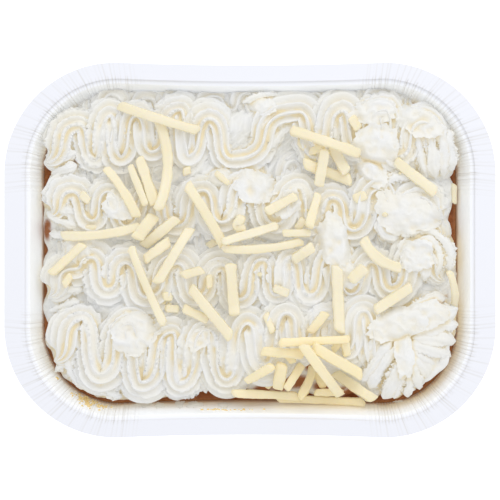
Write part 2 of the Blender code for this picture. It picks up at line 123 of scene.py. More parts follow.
# Face of a rope: ridges round its section, how they wander and fade, its unevenness, its teeth and nicks, and
# how much painted shade its grooves get
ROPE_LOBES = 14
UNDERSIDE = (-0.45, -0.1)
RIDGE_WANDER = 1.15
SMALL_WANDER = 0.45
RIDGE_FADE = 0.5
FINE_RIDGES = 0.07 * MM
ROPE_GRAIN = 0.20 * MM
ROPE_UNEVEN = 0.42 * MM
ROPE_SWELL = 0.12
CREST_TEARS = 0.8
TOOTH_PITCH = 2.1 * MM
TOOTH_SHARE = 0.7
NICK_SHARE = 0.5
NICK_CELL = 0.9 * MM
GROOVE_SHADE = 0.45

# Folds: columns, tips, how much crests differ, depth of the root, rise, unevenness of the face, and the
# painted shade on their flanks
FOLD_COLUMNS = 33
FOLD_TIP = 1.35
FOLD_UNEVEN = 0.8 * MM
FOLD_ROOT = 5.0 * MM
FOLD_RISE = 0.62
FOLD_STRIPES = 0.07
FOLD_SWELL = 0.22
FOLD_GRAIN = 0.34 * MM
FOLD_FLANK_SHADE = 0.5

# The turns of each row's rope, from the left end: x and y in mm
ROWS = (
    ((-80.5, 34), (-66, 49), (-60, 35), (-54, 52), (-50, 36), (-44, 52), (-38, 38), (-27, 54), (-24, 36),
     (-16, 51), (-7, 35), (19, 54), (27, 39), (36, 54), (41, 40), (52, 54), (57, 36), (67, 49),
     (75, 32)),
    ((-78.3, 13), (-69, 23), (-61, 11), (-55, 22), (-48, 9), (-39, 21), (-28, 9), (-18, 23), (-11, 11),
     (0, 25), (10, 10), (19, 24), (24, 9), (32, 20), (40, 8), (50, 24), (57, 9), (65, 20), (75, 11)),
    ((-78.3, -18), (-69, -8), (-61, -3), (-55, -15), (-48, -5), (-40, -18), (-28, -5), (-21, -18),
     (-11, -6), (-4, -19), (5, -4), (10, -17), (16, -3), (23, -18), (32, -2), (39, -17), (47, -4),
     (55, -16), (67, 0), (76, -12)),
    ((-76.3, -43), (-65, -26.8), (-58, -48), (-46, -29), (-42, -51), (-30, -32), (-27, -51), (-16, -31),
     (-9, -50), (-1, -28), (6, -44), (14, -25), (21, -37), (31, -26), (37, -39), (44, -24), (51, -47)),
)

# Deeper ropes between the rows and along the back wall: first x, last x, middle y, half height in mm
BACKINGS = ((-66, 70, 57, 3), (-74, 76, 29, 6), (-74, 76, 4, 5), (-74, 78, -22, 6))

# Lumps that the nozzle pressed flat: x, y, half length, half width, turn in degrees, height of the top in mm
LUMPS = (
    (-45.0, -31, 9.0, 9.0, 20, 38.0), (2, 25, 8.5, 6.5, 0, 36.3), (32.5, 3, 7.0, 11.5, 10, 36.9),
    (61, 15, 12.5, 8.5, -10, 37.4), (49.5, 40, 9.5, 8.0, 0, 36.9), (48.5, 54, 9.5, 5.5, 10, 36.2),
    (66, 50, 9.5, 6.5, -18, 37.0), (-50, 17, 6.5, 6.0, 0, 35.2), (64.5, -2, 7.5, 6.5, -15, 36.8),
    (-66, 1, 6.5, 5.5, 20, 36.0), (47, 30, 7.0, 4.5, -35, 36.0), (57.0, -28.6, 11.5, 6.8, 18, 38.0),
    (67.5, -25.5, 9.0, 6.0, 12, 37.8), (59.6, -41, 3.8, 8.0, 0, 37.2), (14, 18, 6.5, 5.0, 35, 36.0),
    (5, 55.5, 5.5, 3.5, 0, 34.0), (-12, 28, 5.0, 4.0, 0, 36.0), (38, -10, 6.0, 5.0, 20, 36.2),
    (-20, -34, 5.5, 4.0, 50, 36.2),
)

# Grid of a lump, noise of its rim as reach, share, step of the seed and shift, depth, cells of blur, and step
LUMP_GRID = (130, 36)
LUMP_RAGGED = ((2.1, 0.17, 0, 5), (7, 0.10, 1, 0), (17, 0.05, 5, 0))
LUMP_DEPTH = 9.0 * MM
LUMP_BLUR = 5
LUMP_STEP = 2.5 * MM

# Places along the wall where the mash stands back and the filling shows: x, y, reach and depth in mm
GAPS = (
    (-80, 28.4, 5.5, 3.2), (-80, 0.2, 2.5, 2.0), (-80, -14.0, 2.5, 1.8), (-80, -27.5, 3.5, 2.2),
    (-79.5, -40, 3.5, 1.8), (-77.3, -47.2, 4, 1.4), (-69.6, -55.1, 5, 1.7), (-61.1, -58.8, 5, 1.5),
    (-51.3, -60.0, 5, 1.7), (-41, -60.0, 6, 1.5), (-29, -60, 6, 1.9), (-19.3, -60, 6, 3.8),
    (-10.8, -60, 6, 4.6), (-1.9, -60, 6, 4.2), (4.6, -60, 4, 3.2), (19.3, -60, 6, 3.6),
    (30, -60, 5, 3.2), (37.8, -60, 3, 3.4), (49.4, -60, 4, 4.4), (59.9, -58.8, 4, 2.4),
    (67.9, -55.1, 4, 3.0), (75.0, -47.0, 7, 4.6), (79.2, -36.6, 4, 2.4), (80.5, 10.5, 7, 3.4),
    (80, 27.2, 4, 2.8), (79.2, 38.8, 4, 2.0),
)

# Where the gaps are looked up, as shares of the mouth, and how far the mash stands back without them
GAP_PLACE = (0.93, 0.91)
GAP_LEAST = 0.25 * MM
GAP_NOISE = 0.5 * MM

# Edge of the mash under the ropes: inset from the wall and height in mm
SKIRT = ((8.0, 27.6), (7.2, 27.2), (6.4, 26.7), (5.6, 26.2), (4.8, 25.6), (4.2, 25.1), (3.6, 24.6),
         (2.8, 23.9), (2.0, 23.0), (1.4, 22.2), (0.8, 21.4), (0.3, 20.4), (0.0, 19.6))

# Mash under the ropes: points round it, insets of its level rings in mm, its level and its ridges
CORE_COLUMNS = 520
CORE_LEVEL = 28.3 * MM
CORE_RINGS = (58, 18, -0.8)
CORE_RIDGES = 0.75 * MM
CORE_PITCH = 3.1 * MM
CORE_WAY = math.radians(42)
CORE_WANDER = 3.0
CORE_UNEVEN = 0.6 * MM
CORE_GRAIN = 0.5 * MM

# Mounds of that mash: x, y, half length, half width, turn in degrees and rise, all else in mm
MOUNDS = (
    (-3, 48, 10.0, 6.5, 48, 5.0), (-56, -22.5, 9.0, 3.5, 0, 3.5), (-33, -24.5, 8.0, 3.0, 0, 3.0),
    (-22, 30, 10.0, 3.5, 10, 2.5), (-46, 31, 12.0, 4.0, 0, 2.5), (0, -22, 16.0, 4.0, 0, 2.5),
)

# Hollows between the ropes: x, y, half length, half width, turn in degrees, height of the floor in mm
HOLLOWS = (
    (14, 32, 7.0, 3.5, 25, 24.0), (31, 30, 11.0, 4.5, -10, 23.0), (59, 29, 6.0, 3.5, 0, 25.0),
    (23, -50, 23.0, 9.5, 0, 20.0),
)
HOLLOW_DEPTH = 14.0 * MM

# Deep places between the ropes where gravy shows: x, y and half sizes in mm
GRAVY_SPOTS = (
    (-68, 35, 1.2, 4.4), (14.3, 30.3, 2.2, 1.2), (37.8, 31.1, 1.4, 2.0), (59.9, 29.2, 1.8, 1.8),
    (57.9, 2.9, 3.6, 1.2), (-49.8, -21, 1.8, 1.8), (-24.3, -21, 1.8, 1.8), (17.8, -15.3, 1.4, 1.4),
    (73.4, -19.1, 3.4, 2.0), (18.2, -51.6, 6.5, 3.2), (8, -54.5, 8, 2.4), (29, -53.5, 5, 2.6),
    (-79.3, 8, 2.0, 5.0), (38, -55.5, 5, 2.6), (24, -46, 3, 1.4),
)

# Gravy shows as a spot's bell, the depth of the mash and its height go from the first value to the second
GRAVY_EDGE = (0.3, 0.7)
GRAVY_CAVITY = (0.5, 0.95)
GRAVY_LEVELS = (26.5 * MM, 23.5 * MM)

# Painted warm shade of deep mash: cells of the mean level, share, and depths below it where that starts and is
# full
CAVITY_SHADE_SCALES = ((3, 0.65, -0.1 * MM, 1.1 * MM), (9, 0.5, 0.6 * MM, 6 * MM))

# Single folds of mash: width, height of the crest at both ends, then the points of its line, all in mm
FOLDS = (
    (6.4, 36.0, 31.5, (50.5, -27), (43, -34), (38.2, -41.5)),
    (6.0, 36.2, 31.5, (52.5, -32), (46, -39), (41, -46)),
    (6.4, 36.2, 31.0, (55, -35), (48.5, -44), (43.5, -51)),
    (6.8, 36.2, 30.0, (57, -37), (51, -46), (46.5, -54)),
    (8.0, 36.2, 29.5, (59.7, -41.5), (55.5, -51), (51.8, -58)),
    (6.2, 36.0, 29.5, (60, -43), (58, -51), (56.2, -58)),
    (6.4, 36.0, 29.5, (61.4, -43), (61.8, -51), (61.4, -57.5)),
    (6.8, 36.0, 29.5, (62.0, -42), (64.6, -48.6), (66.2, -54.4)),
    (7.4, 36.0, 29.5, (61.6, -40), (67, -45.6), (69.8, -50.2)),
    (8.2, 36.0, 29.8, (61.7, -38), (69.4, -43), (73.6, -45.8)),
    (8.4, 36.2, 30.2, (61.9, -36), (71.5, -39), (78.4, -41.5)),
    (8.4, 36.4, 30.6, (62.7, -34), (72.5, -34.5), (80.2, -35.5)),
    (8.6, 36.6, 31.0, (62.4, -31.5), (73, -29.8), (81.2, -29)),
    (8.6, 36.8, 31.6, (61.7, -29), (72.5, -25), (81, -22.6)),
    (7.0, 36.8, 33.0, (57.7, -27), (66.5, -21.5), (76, -18.6)),
    (6.2, 35.8, 32.0, (61.2, 48), (61.8, 40), (64.2, 31)),
    (6.8, 36.4, 32.4, (65, 48.5), (65.8, 39), (68.6, 28)),
    (6.8, 36.6, 32.6, (69.4, 49.5), (70.4, 39), (72, 28)),
    (6.8, 36.2, 32.0, (73.2, 49), (75, 39), (75.4, 28.5)),
    (6.4, 34.0, 30.0, (75.4, 47), (77.6, 39), (78.6, 30.5)),
    (6.0, 35.8, 33.5, (58.5, 5.5), (69, 7.5), (77, 1), (77.5, -8)),
    (5.6, 36.2, 34.2, (62, 1), (69.5, 3.5), (73.2, -2), (72.6, -10)),
    (5.0, 36.0, 33.6, (60, -5), (66, -1.5), (68.5, -6), (67.5, -12)),
    (5.4, 35.6, 34.0, (50, 22), (55, 27.5), (63, 29)),
    (5.0, 35.4, 33.5, (49.5, 12), (52.5, 6.5), (58, 5)),
    (5.4, 34.5, 28.5, (-67, 14), (-74, 18), (-78.6, 21.5)),
    (5.0, 34.0, 28.5, (-67, 9), (-75, 12), (-79.2, 15.2)),
    (5.2, 33.0, 27.5, (-64, 6), (-72, 5.5), (-78.5, 6.5)),
    (5.4, 34.0, 28.5, (-67, 38), (-74, 36), (-79.8, 37)),
    (5.0, 33.0, 27.5, (-67, 33), (-73, 31), (-77.5, 29.8)),
    (5.4, 34.0, 28.0, (-65, -9), (-73, -8), (-78.6, -9.5)),
    (5.2, 33.5, 28.0, (-65, -15), (-74, -16), (-79.0, -19.0)),
    (5.0, 33.0, 27.5, (-66, -20), (-73, -22), (-78.8, -24)),
    (5.4, 33.0, 27.5, (-66, -36), (-73, -37), (-78.6, -36.5)),
    (5.0, 32.5, 27.0, (-67, -43), (-73, -45), (-76.3, -47.5)),
    (6.0, 31.5, 26.5, (-71, -40), (-69, -48), (-63.5, -54)),
    (5.5, 31.0, 26.5, (-62, -49), (-56, -54.5), (-50, -57.5)),
    (4.5, 30.5, 25.5, (-50, -46), (-49.5, -52), (-48, -57)),
    (4.5, 30.5, 25.5, (-35, -46), (-34.5, -52), (-33.5, -57)),
    (4.5, 30.5, 25.5, (-18.5, -45), (-18, -51), (-17, -56)),
    (5.0, 33.0, 31.0, (6, 38), (13, 46), (19, 49)),
    (4.6, 33.5, 31.0, (2, 46), (9, 52), (14, 58)),
    (5.0, 32.5, 30.5, (-3, 57), (4, 60), (11, 60.5)),
)

# Mash pressed up inside each turn of a rope: grid, distance, half width and length, top, drop and grain
PLUG_GRID = (24, 9)
PLUG_AWAY = 4.2 * MM
PLUG_REACH = (3.4 * MM, 4.5 * MM)
PLUG_TOP = 31.0 * MM
PLUG_DROP = 6.0 * MM
PLUG_GRAIN = 0.5 * MM

# The mound under the folds of the last dollop: grid, then middle, reach, top and drop in mm
DOLLOP_GRID = (240, 50)
DOLLOP_AT = (61.0, -38.0)
DOLLOP_REACH = (16.8, 14.8)
DOLLOP_TOP = 32.0
DOLLOP_DROP = 7.0

# Short pieces of cheese that lie among the long ones: x, y, x, y and width in mm
SCRAPS = (
    (-69, -9.5, -72, -14, 2.7), (-34, -18, -30, -18, 3.8), (-33, -22.5, -27.5, -23, 3.1),
    (-16, -9.5, -15.5, -15, 2.3), (18, 8, 21, 12, 3.1), (40, 19.5, 45, 21.5, 3.5),
    (23, 38, 29, 39.5, 3.1), (18, 43, 21.5, 39, 2.4), (21, 37, 26, 35.5, 2.2), (39, 51.5, 42, 46.5, 3.5),
    (80, 26, 80, 18, 2.0), (9, -14.5, 15, -17, 3.1), (6, -24.5, 9, -32, 2.7), (35, -35, 32, -39, 2.7),
    (36.5, -35, 37.5, -41, 3.2), (-13.5, 30, -8, 25.5, 2.1), (-24.5, 32.5, -24.5, 29, 3.1),
    (-65.5, 22, -62, 18.5, 3.1), (-64, 8.5, -59.5, 8.5, 2.4), (-16.5, 1.5, -13, 3.5, 2.7),
    (25, -48.5, 21.5, -57, 2.1), (6, -52, 8, -53.5, 2.6),
)

# Crumbs of cheese among the shreds: x, y and size in mm, then their grid
CRUMBS = (
    (47.5, 12.9, 1.9), (52.1, 13.7, 1.7), (40.2, 8.3, 1.7), (44.6, 7.5, 1.6), (-15.8, -18.3, 1.6),
    (3.9, -9.5, 1.9), (-12.4, -4.1, 1.5), (21.6, 15.3, 1.7), (58, 29.6, 1.2), (-33.5, -20.5, 1.6),
    (-31.2, -21, 1.3), (30, -41, 1.5), (-46.3, 45.5, 1.2), (16.5, -46.5, 1.4),
)
CRUMB_GRID = (9, 6)

# Smears of mash on the wall: x, y and half sizes in plan, in mm, then their grid and thickness
SMEARS = (
    (-42, -60.2, 3.6, 1.1), (-35.5, -60.9, 2.2, 0.9), (-27.5, -60.4, 1.8, 1.3), (-21.5, -60.6, 3.0, 1.2),
    (-10, -60.8, 2.8, 0.9), (57.5, -59.0, 2.4, 1.0), (-75.5, 45.5, 1.2, 1.6),
)
SMEAR_GRID = (40, 10)
SMEAR_THICKNESS = 0.35 * MM
SMEAR_EDGE = 0.04 * MM

# Grains of yellow grease on the wall: x, y, spread along and across in mm, turn and how many, then their sizes
GREASE = ((-64.2, -59.0, 5.5, 1.5, -0.42, 90), (-57.2, -61.4, 3.5, 0.5, -0.15, 14),
          (-9, -62.2, 16, 0.25, 0.0, 26), (-75.3, -50.2, 0.8, 0.5, -0.8, 5))
GREASE_SIZE = (0.35, 0.95)
GREASE_SPREAD = 0.45
GREASE_INWARDS = 0.998

# Heap of shreds, where they are yellower: its middle in mm, how far out that starts and ends, and how much
HEAP_AT = (22, -48)
HEAP_EDGE = (26 * MM, 14 * MM)
HEAP_TONE = 0.45
TONE_SPREAD = 0.2

# Shreds: rings, points round one, how deep they sink in, and how far up they and the scraps may be moved
SHRED_RINGS = 36
SHRED_SECTION = 20
SHRED_SINK = 0.45 * MM
SHRED_SHIFT = 0.6 * MM
SCRAP_SHIFT = 5 * SHRED_SHIFT
SCRAP_THICKEST = 2.2

# Cell of the fields of heights
SUPPORT_STEP = 0.5 * MM

# Meat: points round it, insets of its inner rings and distance of the others in mm, and height of its lumps
FILLING_COLUMNS = 600
FILLING_RINGS = (55, 40, 30, 24, 20)
FILLING_PITCH = 0.4
FILLING_CLEARANCE = 0.3
FILLING_LUMPS = ((0.9, 3.2, 41), (0.35, 1.1, 42))

# Tints of the board: how high the beige and the brown stain reach above the filling in mm, and how strong they
# are (the beige evenly, in clouds and towards the front, then the stain and the painted grey shade in the
# creases). The beige is partly stain and partly painted shade and bounce light from the gravy; its extra
# towards the front is painted shade.
TINT_REACH = (5, 9)
TINT_SHARES = (0.1, 0.35, 0.6)
STAIN_REACH = (1.2, 2.6)
STAIN_STRENGTH = 0.8
CREASE_SHADE_STRENGTH = 0.85

# How strongly pale material shows a painted glow, which lifts its shade and stands for light from inside it,
# and how it scatters near the face
WALL_PAINTED_GLOW = 0.20
MASH_PAINTED_GLOW = 0.19
CHEESE_PAINTED_GLOW = 0.10
SCATTER_WEIGHT = 0.2
SCATTER_SCALE = 1.0 * MM

# Second colours of the materials
# Inner wall: painted warm reflection of the food
WALL_WARM_REFLECTION_COLOUR = (0.865, 0.885, 0.915)
# Beige low on the wall: partly stain, partly painted shade and bounce light from the gravy
WALL_STAIN_AND_SHADE_BEIGE = (0.75, 0.655, 0.49)
# Painted grey shade in the pleat creases
CREASE_SHADE_COLOUR = (0.66, 0.64, 0.60)
MINCE_COLOUR = (0.38, 0.125, 0.036)
# Painted highlight along the filling's edge by the wall
EDGE_HIGHLIGHT_COLOUR = (0.40, 0.165, 0.06)
MASH_SPOT_COLOUR = (0.72, 0.712, 0.672)
MASH_GRAVY_COLOUR = (0.30, 0.11, 0.04)
CHEESE_STREAK_COLOUR = (0.82, 0.77, 0.62)
# Painted shade low on the shreds' sides, also used for their own tone
CHEESE_SHADE_AND_TONE_COLOUR = (0.88, 0.75, 0.43)
GREASE_COLOURS = (0.80, 0.56, 0.20), (0.83, 0.70, 0.40)

# Stage: floor, camera and its view across, key light and sky
FLOOR_HALF = 3.0
FLOOR_COLOUR = (0.9, 0.9, 0.9, 1)
FLOOR_GLOW = 0.45
FLOOR_ROUGHNESS = 0.9
WHITE = (1, 1, 1, 1)
CAMERA_HEIGHT = 0.95
VIEW_WIDTH = 0.1931
SENSOR = 36.0
KEY_PLACE = (0.30, 0.72, 0.95)
KEY_SIZE = 0.7
KEY_POWER = 3.2
SKY_STRENGTH = 0.90

# Seeds of the noise, one for each kind of piece
PLEAT_SEED = 3
LEG_SEED = 7
ROPE_SEED = 100
BACKING_SEED = 160
LUMP_SEED = 200
DOLLOP_SEED = 300
FOLD_SEED = 400
PLUG_SEED = 500
SCRAP_SEED = 500
SMEAR_SEED = 600
CRUMB_SEED = 700
GREASE_SEED = 61


def colour_setting(name, description, default):
    return FloatVectorProperty(name=name, description=description, default=default, size=3, min=0.0, max=1.0,
                               subtype="COLOR")


class PieSettings(bpy.types.PropertyGroup):
    """Sizes and colours that a user would change."""

    rope_width: FloatProperty(
        name="Rope width", description="Width of the piped rope of mash", default=17.5 * MM,
        min=8 * MM, max=30 * MM, subtype="DISTANCE", unit="LENGTH")
    rope_rise: FloatProperty(
        name="Rope rise", description="Height of the rope above its axis", default=8.2 * MM,
        min=2 * MM, max=15 * MM, subtype="DISTANCE", unit="LENGTH")
    lobe_depth: FloatProperty(
        name="Ridge depth", description="Depth of the nozzle's grooves as a share of the rope's radius",
        default=0.39, min=0.0, max=0.5, subtype="FACTOR")
    tear_depth: FloatProperty(
        name="Tear depth", description="How far the torn edges of the mash are notched", default=2.3 * MM,
        min=0.0, max=3 * MM, subtype="DISTANCE", unit="LENGTH")
    lump_roughness: FloatProperty(
        name="Lump roughness", description="Height of the bumps on the pressed lumps", default=0.9 * MM,
        min=0.0, max=3 * MM, subtype="DISTANCE", unit="LENGTH")
    shred_seed: IntProperty(
        name="Cheese seed", description="Seed of the small differences between the shreds", default=5)
    board_colour: colour_setting("Board", "Colour of the coated board", (0.855, 0.87, 0.934))
    stain_colour: colour_setting("Gravy stain", "Colour of the gravy on the wall", (0.42, 0.24, 0.12))
    gravy_colour: colour_setting("Gravy", "Colour of the meat and gravy", (0.25, 0.070, 0.018))
    mash_colour: colour_setting("Mash", "Colour of the tops of the mash", (0.712, 0.716, 0.715))
    # Painted warm shade between the ridges and in deep places
    mash_valley_shade_colour: colour_setting("Mash valleys", "Colour between the ridges", (0.745, 0.665, 0.48))
    cheese_colour: colour_setting("Cheese", "Colour of the grated cheese", (0.79, 0.72, 0.52))


def settings():
    return bpy.context.scene.pie


def lattice_noise(x, y, cell, seed):
    """Smooth noise from -1 to 1: random values on a square lattice, blended by a smoothstep in x and in y."""
    size = 256
    values = np.random.default_rng(seed).uniform(-1, 1, (size, size))
    across, along = np.asarray(x) / cell, np.asarray(y) / cell
    column, row = np.floor(across).astype(int), np.floor(along).astype(int)
    u, v = across - column, along - row
    u, v = u * u * (3 - 2 * u), v * v * (3 - 2 * v)
    left, right, low, high = column % size, (column + 1) % size, row % size, (row + 1) % size
    near = values[left, low] * (1 - u) + values[right, low] * u
    far = values[left, high] * (1 - u) + values[right, high] * u
    return near * (1 - v) + far * v


def fractal_noise(x, y, cell, seed, layers=3):
    """Layers of lattice noise, each of half the cell and half the height of the one before."""
    total = 0.0
    for layer in range(layers):
        total = total + lattice_noise(x, y, cell / 2 ** layer, seed + layer) / 2 ** layer
    return total


def grid_quads(rows, columns):
    """Faces between neighbouring rows of a grid whose columns run round and close on themselves."""
    here = np.arange(rows * columns).reshape(rows, columns)
    after = np.roll(here, -1, axis=1)
    return np.stack([here[:-1], after[:-1], after[1:], here[1:]], axis=-1).reshape(-1, 4)


def fan(ring, pole):
    """Triangles from a closed ring of point numbers to one pole."""
    return np.column_stack([ring, np.roll(ring, -1), np.full(len(ring), pole)])


def closed_skin(grid):
    """Points and faces of a surface that closes round each row, with a pole in the middle of the first and of
    the last row."""
    rows, columns = grid.shape[:2]
    points = np.vstack([grid.reshape(-1, 3), grid[0].mean(axis=0), grid[-1].mean(axis=0)])
    first = np.arange(columns)
    last = first + (rows - 1) * columns
    caps = np.vstack([fan(first[::-1], rows * columns), fan(last, rows * columns + 1)])
    return points, grid_quads(rows, columns), caps


def join_skins(skins):
    """Several lots of points, quads and triangles as one lot."""
    start, points, quads, caps = 0, [], [], []
    for own_points, own_quads, own_caps in skins:
        points.append(own_points)
        quads.append(own_quads + start)
        caps.append(own_caps + start)
        start += len(own_points)
    return np.vstack(points), np.vstack(quads), np.vstack(caps)


def signed_volume(points, quads, caps):
    """Six times the volume inside the faces, negative where they point inwards."""
    triangles = np.vstack([quads[:, [0, 1, 2]], quads[:, [0, 2, 3]], caps])
    a, b, c = (points[triangles[:, corner]] for corner in range(3))
    return np.einsum("ij,ij->i", a, np.cross(b, c)).sum()


def add_piece(name, skin, material, nodes=(), fields=None, sharp_degrees=None):
    """A mesh object on the tray's body from points, quads and triangles, with its faces turned outwards."""
    points, quads, caps = skin
    if signed_volume(points, quads, caps) < 0:
        quads, caps = quads[:, ::-1], caps[:, ::-1]
    mesh = bpy.data.meshes.new(name)
    mesh.vertices.add(len(points))
    mesh.vertices.foreach_set("co", points.astype(np.float32).ravel())
    loops = np.concatenate([quads.ravel(), caps.ravel()])
    mesh.loops.add(len(loops))
    mesh.loops.foreach_set("vertex_index", loops.astype(np.int32))
    starts = np.concatenate([np.arange(len(quads)) * 4, len(quads) * 4 + np.arange(len(caps)) * 3])
    mesh.polygons.add(len(starts))
    mesh.polygons.foreach_set("loop_start", starts.astype(np.int32))
    mesh.update(calc_edges=True)
    mesh.validate()
    mesh.shade_smooth()
    if sharp_degrees is not None:
        mesh.set_sharp_from_angle(angle=math.radians(sharp_degrees))
    for field, values in (fields or {}).items():
        attribute = mesh.attributes.new(field, "FLOAT", "POINT")
        attribute.data.foreach_set("value", np.clip(values, 0, 1).astype(np.float32))
    mesh.materials.append(material)
    piece = bpy.data.objects.new(name, mesh)
    bpy.context.scene.collection.objects.link(piece)
    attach(piece, "root")
    if nodes:
        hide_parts(*nodes)
    return piece


def smoothstep(value, start, end):
    """0 before the start and 1 after the end, with a smooth cubic between them."""
    share = np.clip((value - start) / (end - start), 0, 1)
    return share * share * (3 - 2 * share)


def outline_stations():
    """Places round the tray that every ring shares, anticlockwise from the right-hand side: which corner each
    belongs to, its angle, and how far it lies along the straight before or after that corner's arc, as a
    length and as a share of what is left of the side. Pleated stretches have close columns."""
    corner, angle, before, after, share = [], [], [], [], []
    pleat = PLEAT_RUN * np.arange(PLEAT_COLUMNS, 0, -1) / PLEAT_COLUMNS
    for number in range(4):
        start = number * math.pi / 2
        turn = np.linspace(start, start + math.pi / 2, CORNER_COLUMNS + 1)
        side = np.arange(1, SIDE_COLUMNS) / SIDE_COLUMNS
        zero = np.zeros
        angle.append(np.concatenate([np.full(PLEAT_COLUMNS, start), turn,
                                     np.full(PLEAT_COLUMNS + SIDE_COLUMNS - 1, turn[-1])]))
        before.append(np.concatenate([pleat, zero(len(turn) + PLEAT_COLUMNS + SIDE_COLUMNS - 1)]))
        after.append(np.concatenate([zero(PLEAT_COLUMNS + len(turn)), pleat[::-1],
                                     np.full(SIDE_COLUMNS - 1, PLEAT_RUN)]))
        share.append(np.concatenate([zero(2 * PLEAT_COLUMNS + len(turn)), side]))
        corner.append(np.full(len(angle[-1]), number))
    return tuple(np.concatenate(part) for part in (corner, angle, before, after, share))


STATIONS = outline_stations()


def outline(half_x, half_y, radius):
    """A rectangle with round corners at the shared stations: a corner's middle plus its radius turned to the
    angle, moved along the straight sides, with the long sides bowed inwards by a parabola."""
    corner, angle, before, after, share = STATIONS
    sign_x = np.array([1, -1, -1, 1])[corner]
    sign_y = np.array([1, 1, -1, -1])[corner]
    x = sign_x * (half_x - radius) + radius * np.cos(angle)
    y = sign_y * (half_y - radius) + radius * np.sin(angle)
    side_length = np.where(corner % 2 == 0, 2 * (half_x - radius), 2 * (half_y - radius))
    ahead = after + share * (side_length - 2 * PLEAT_RUN)
    x = x - ahead * np.sin(angle) + before * np.sin(angle)
    y = y + ahead * np.cos(angle) - before * np.cos(angle)
    bow = SIDE_BOW * np.clip(1 - (x / (half_x - radius)) ** 2, 0, None)
    return x, y * (1 - bow / half_y)


def travelled(x, y):
    """Distance along a line in plan at each of its points."""
    return np.concatenate([[0], np.cumsum(np.hypot(np.diff(x), np.diff(y)))])


def travelled_in_space(line):
    """Distance along a line at each of its points."""
    return np.concatenate([[0], np.cumsum(np.linalg.norm(np.diff(line, axis=0), axis=1))])


def even_mouth(count):
    """Points at even distances round the mouth of the tray, with the angle of its outline at each."""
    x, y = outline(MOUTH_X, MOUTH_Y, MOUTH_RADIUS)
    x, y, angle = np.append(x, x[0]), np.append(y, y[0]), np.append(STATIONS[1], 2 * math.pi)
    travel = travelled(x, y)
    places = np.arange(count) * travel[-1] / count
    return tuple(np.interp(places, travel, part) for part in (x, y, angle))


def ring_inside(x, y, angle, inset):
    """The mouth's outline moved inwards: square to itself while the corners allow it, then shrunk."""
    deepest = MOUTH_RADIUS * FOOD_SHARE
    square = np.minimum(inset, deepest)
    shrink = 1 - (inset - square) / (MOUTH_Y - deepest)
    return (x - np.cos(angle) * square) * shrink, (y - np.sin(angle) * square) * shrink


def travel_round():
    """Distance of each station along the mouth of the tray from the start of its corner's pleats."""
    corner, angle, before, after, share = STATIONS
    arc = (angle - corner * math.pi / 2) * MOUTH_RADIUS
    return PLEAT_RUN - before + arc + after + share * 0.1


def wall_profile():
    """The inner face of the tray from the flange to the floor, as pairs of inset and height."""
    ledge = TRAY_HEIGHT - STEP_DROP - LEDGE_DROP
    top = (STEP_RUN + LEDGE_WIDTH, ledge)
    foot_height = BOARD + FOOT_RADIUS * (1 - math.sin(WALL_SLOPE))
    foot = (top[0] + (ledge - foot_height) * math.tan(WALL_SLOPE), foot_height)
    return top, foot


def wall_inset(height):
    """How far inside the mouth the sloping wall is at this height."""
    top, _ = wall_profile()
    return top[0] + np.clip(top[1] - height, 0, None) * math.tan(WALL_SLOPE)


def inset_at(x, y):
    """How far a point lies inside the mouth outline, with the bow of the long sides."""
    bow = SIDE_BOW * np.clip(1 - (x / (MOUTH_X - MOUTH_RADIUS)) ** 2, 0, None)
    over_x = np.abs(x) - (MOUTH_X - MOUTH_RADIUS)
    over_y = np.abs(y) / (1 - bow / MOUTH_Y) - (MOUTH_Y - MOUTH_RADIUS)
    outside = np.hypot(np.maximum(over_x, 0), np.maximum(over_y, 0))
    return MOUTH_RADIUS - outside - np.minimum(np.maximum(over_x, over_y), 0)


def keep_inside(x, y, z):
    """Moves points that would pass through the wall straight towards the middle line until they are clear."""
    lack = np.clip(wall_inset(z) + WALL_CLEARANCE - inset_at(x, y), 0, None)
    over_x = np.maximum(np.abs(x) - (MOUTH_X - MOUTH_RADIUS), 1e-9)
    over_y = np.maximum(np.abs(y) - (MOUTH_Y - MOUTH_RADIUS), 1e-9)
    length = np.hypot(over_x, over_y)
    return x - np.sign(x) * lack * over_x / length, y - np.sign(y) * lack * over_y / length, z


def rounded_profile(corners, radius, step):
    """Points along a line through the corners, with each inner corner rounded by a quadratic curve that
    starts and ends at the radius, or at less than half of a short run, from it."""
    points = [np.array(corners[0])]
    for before, here, after in zip(corners, corners[1:], corners[2:]):
        before, here, after = np.array(before), np.array(here), np.array(after)
        run_in, run_out = np.linalg.norm(here - before), np.linalg.norm(after - here)
        cut = min(radius, run_in * 0.45, run_out * 0.45)
        start = here + (before - here) / run_in * cut
        end = here + (after - here) / run_out * cut
        straight = np.linalg.norm(start - points[-1])
        count = max(1, int(round(straight / step)))
        points.extend(points[-1] + (start - points[-1]) * np.arange(1, count + 1)[:, None] / count)
        for t in (0.33, 0.67, 1.0):
            points.append(start * (1 - t) ** 2 + 2 * here * t * (1 - t) + end * t * t)
    last = np.array(corners[-1])
    count = max(1, int(round(np.linalg.norm(last - points[-1]) / step)))
    points.extend(points[-1] + (last - points[-1]) * np.arange(1, count + 1)[:, None] / count)
    return np.array(points)


def offset_line(line, distance):
    """The line moved square to itself, with the way it was moved at each point."""
    along = np.gradient(line, axis=0)
    along /= np.linalg.norm(along, axis=1)[:, None]
    normal = np.column_stack([-along[:, 1], along[:, 0]])
    return line + normal * distance, normal


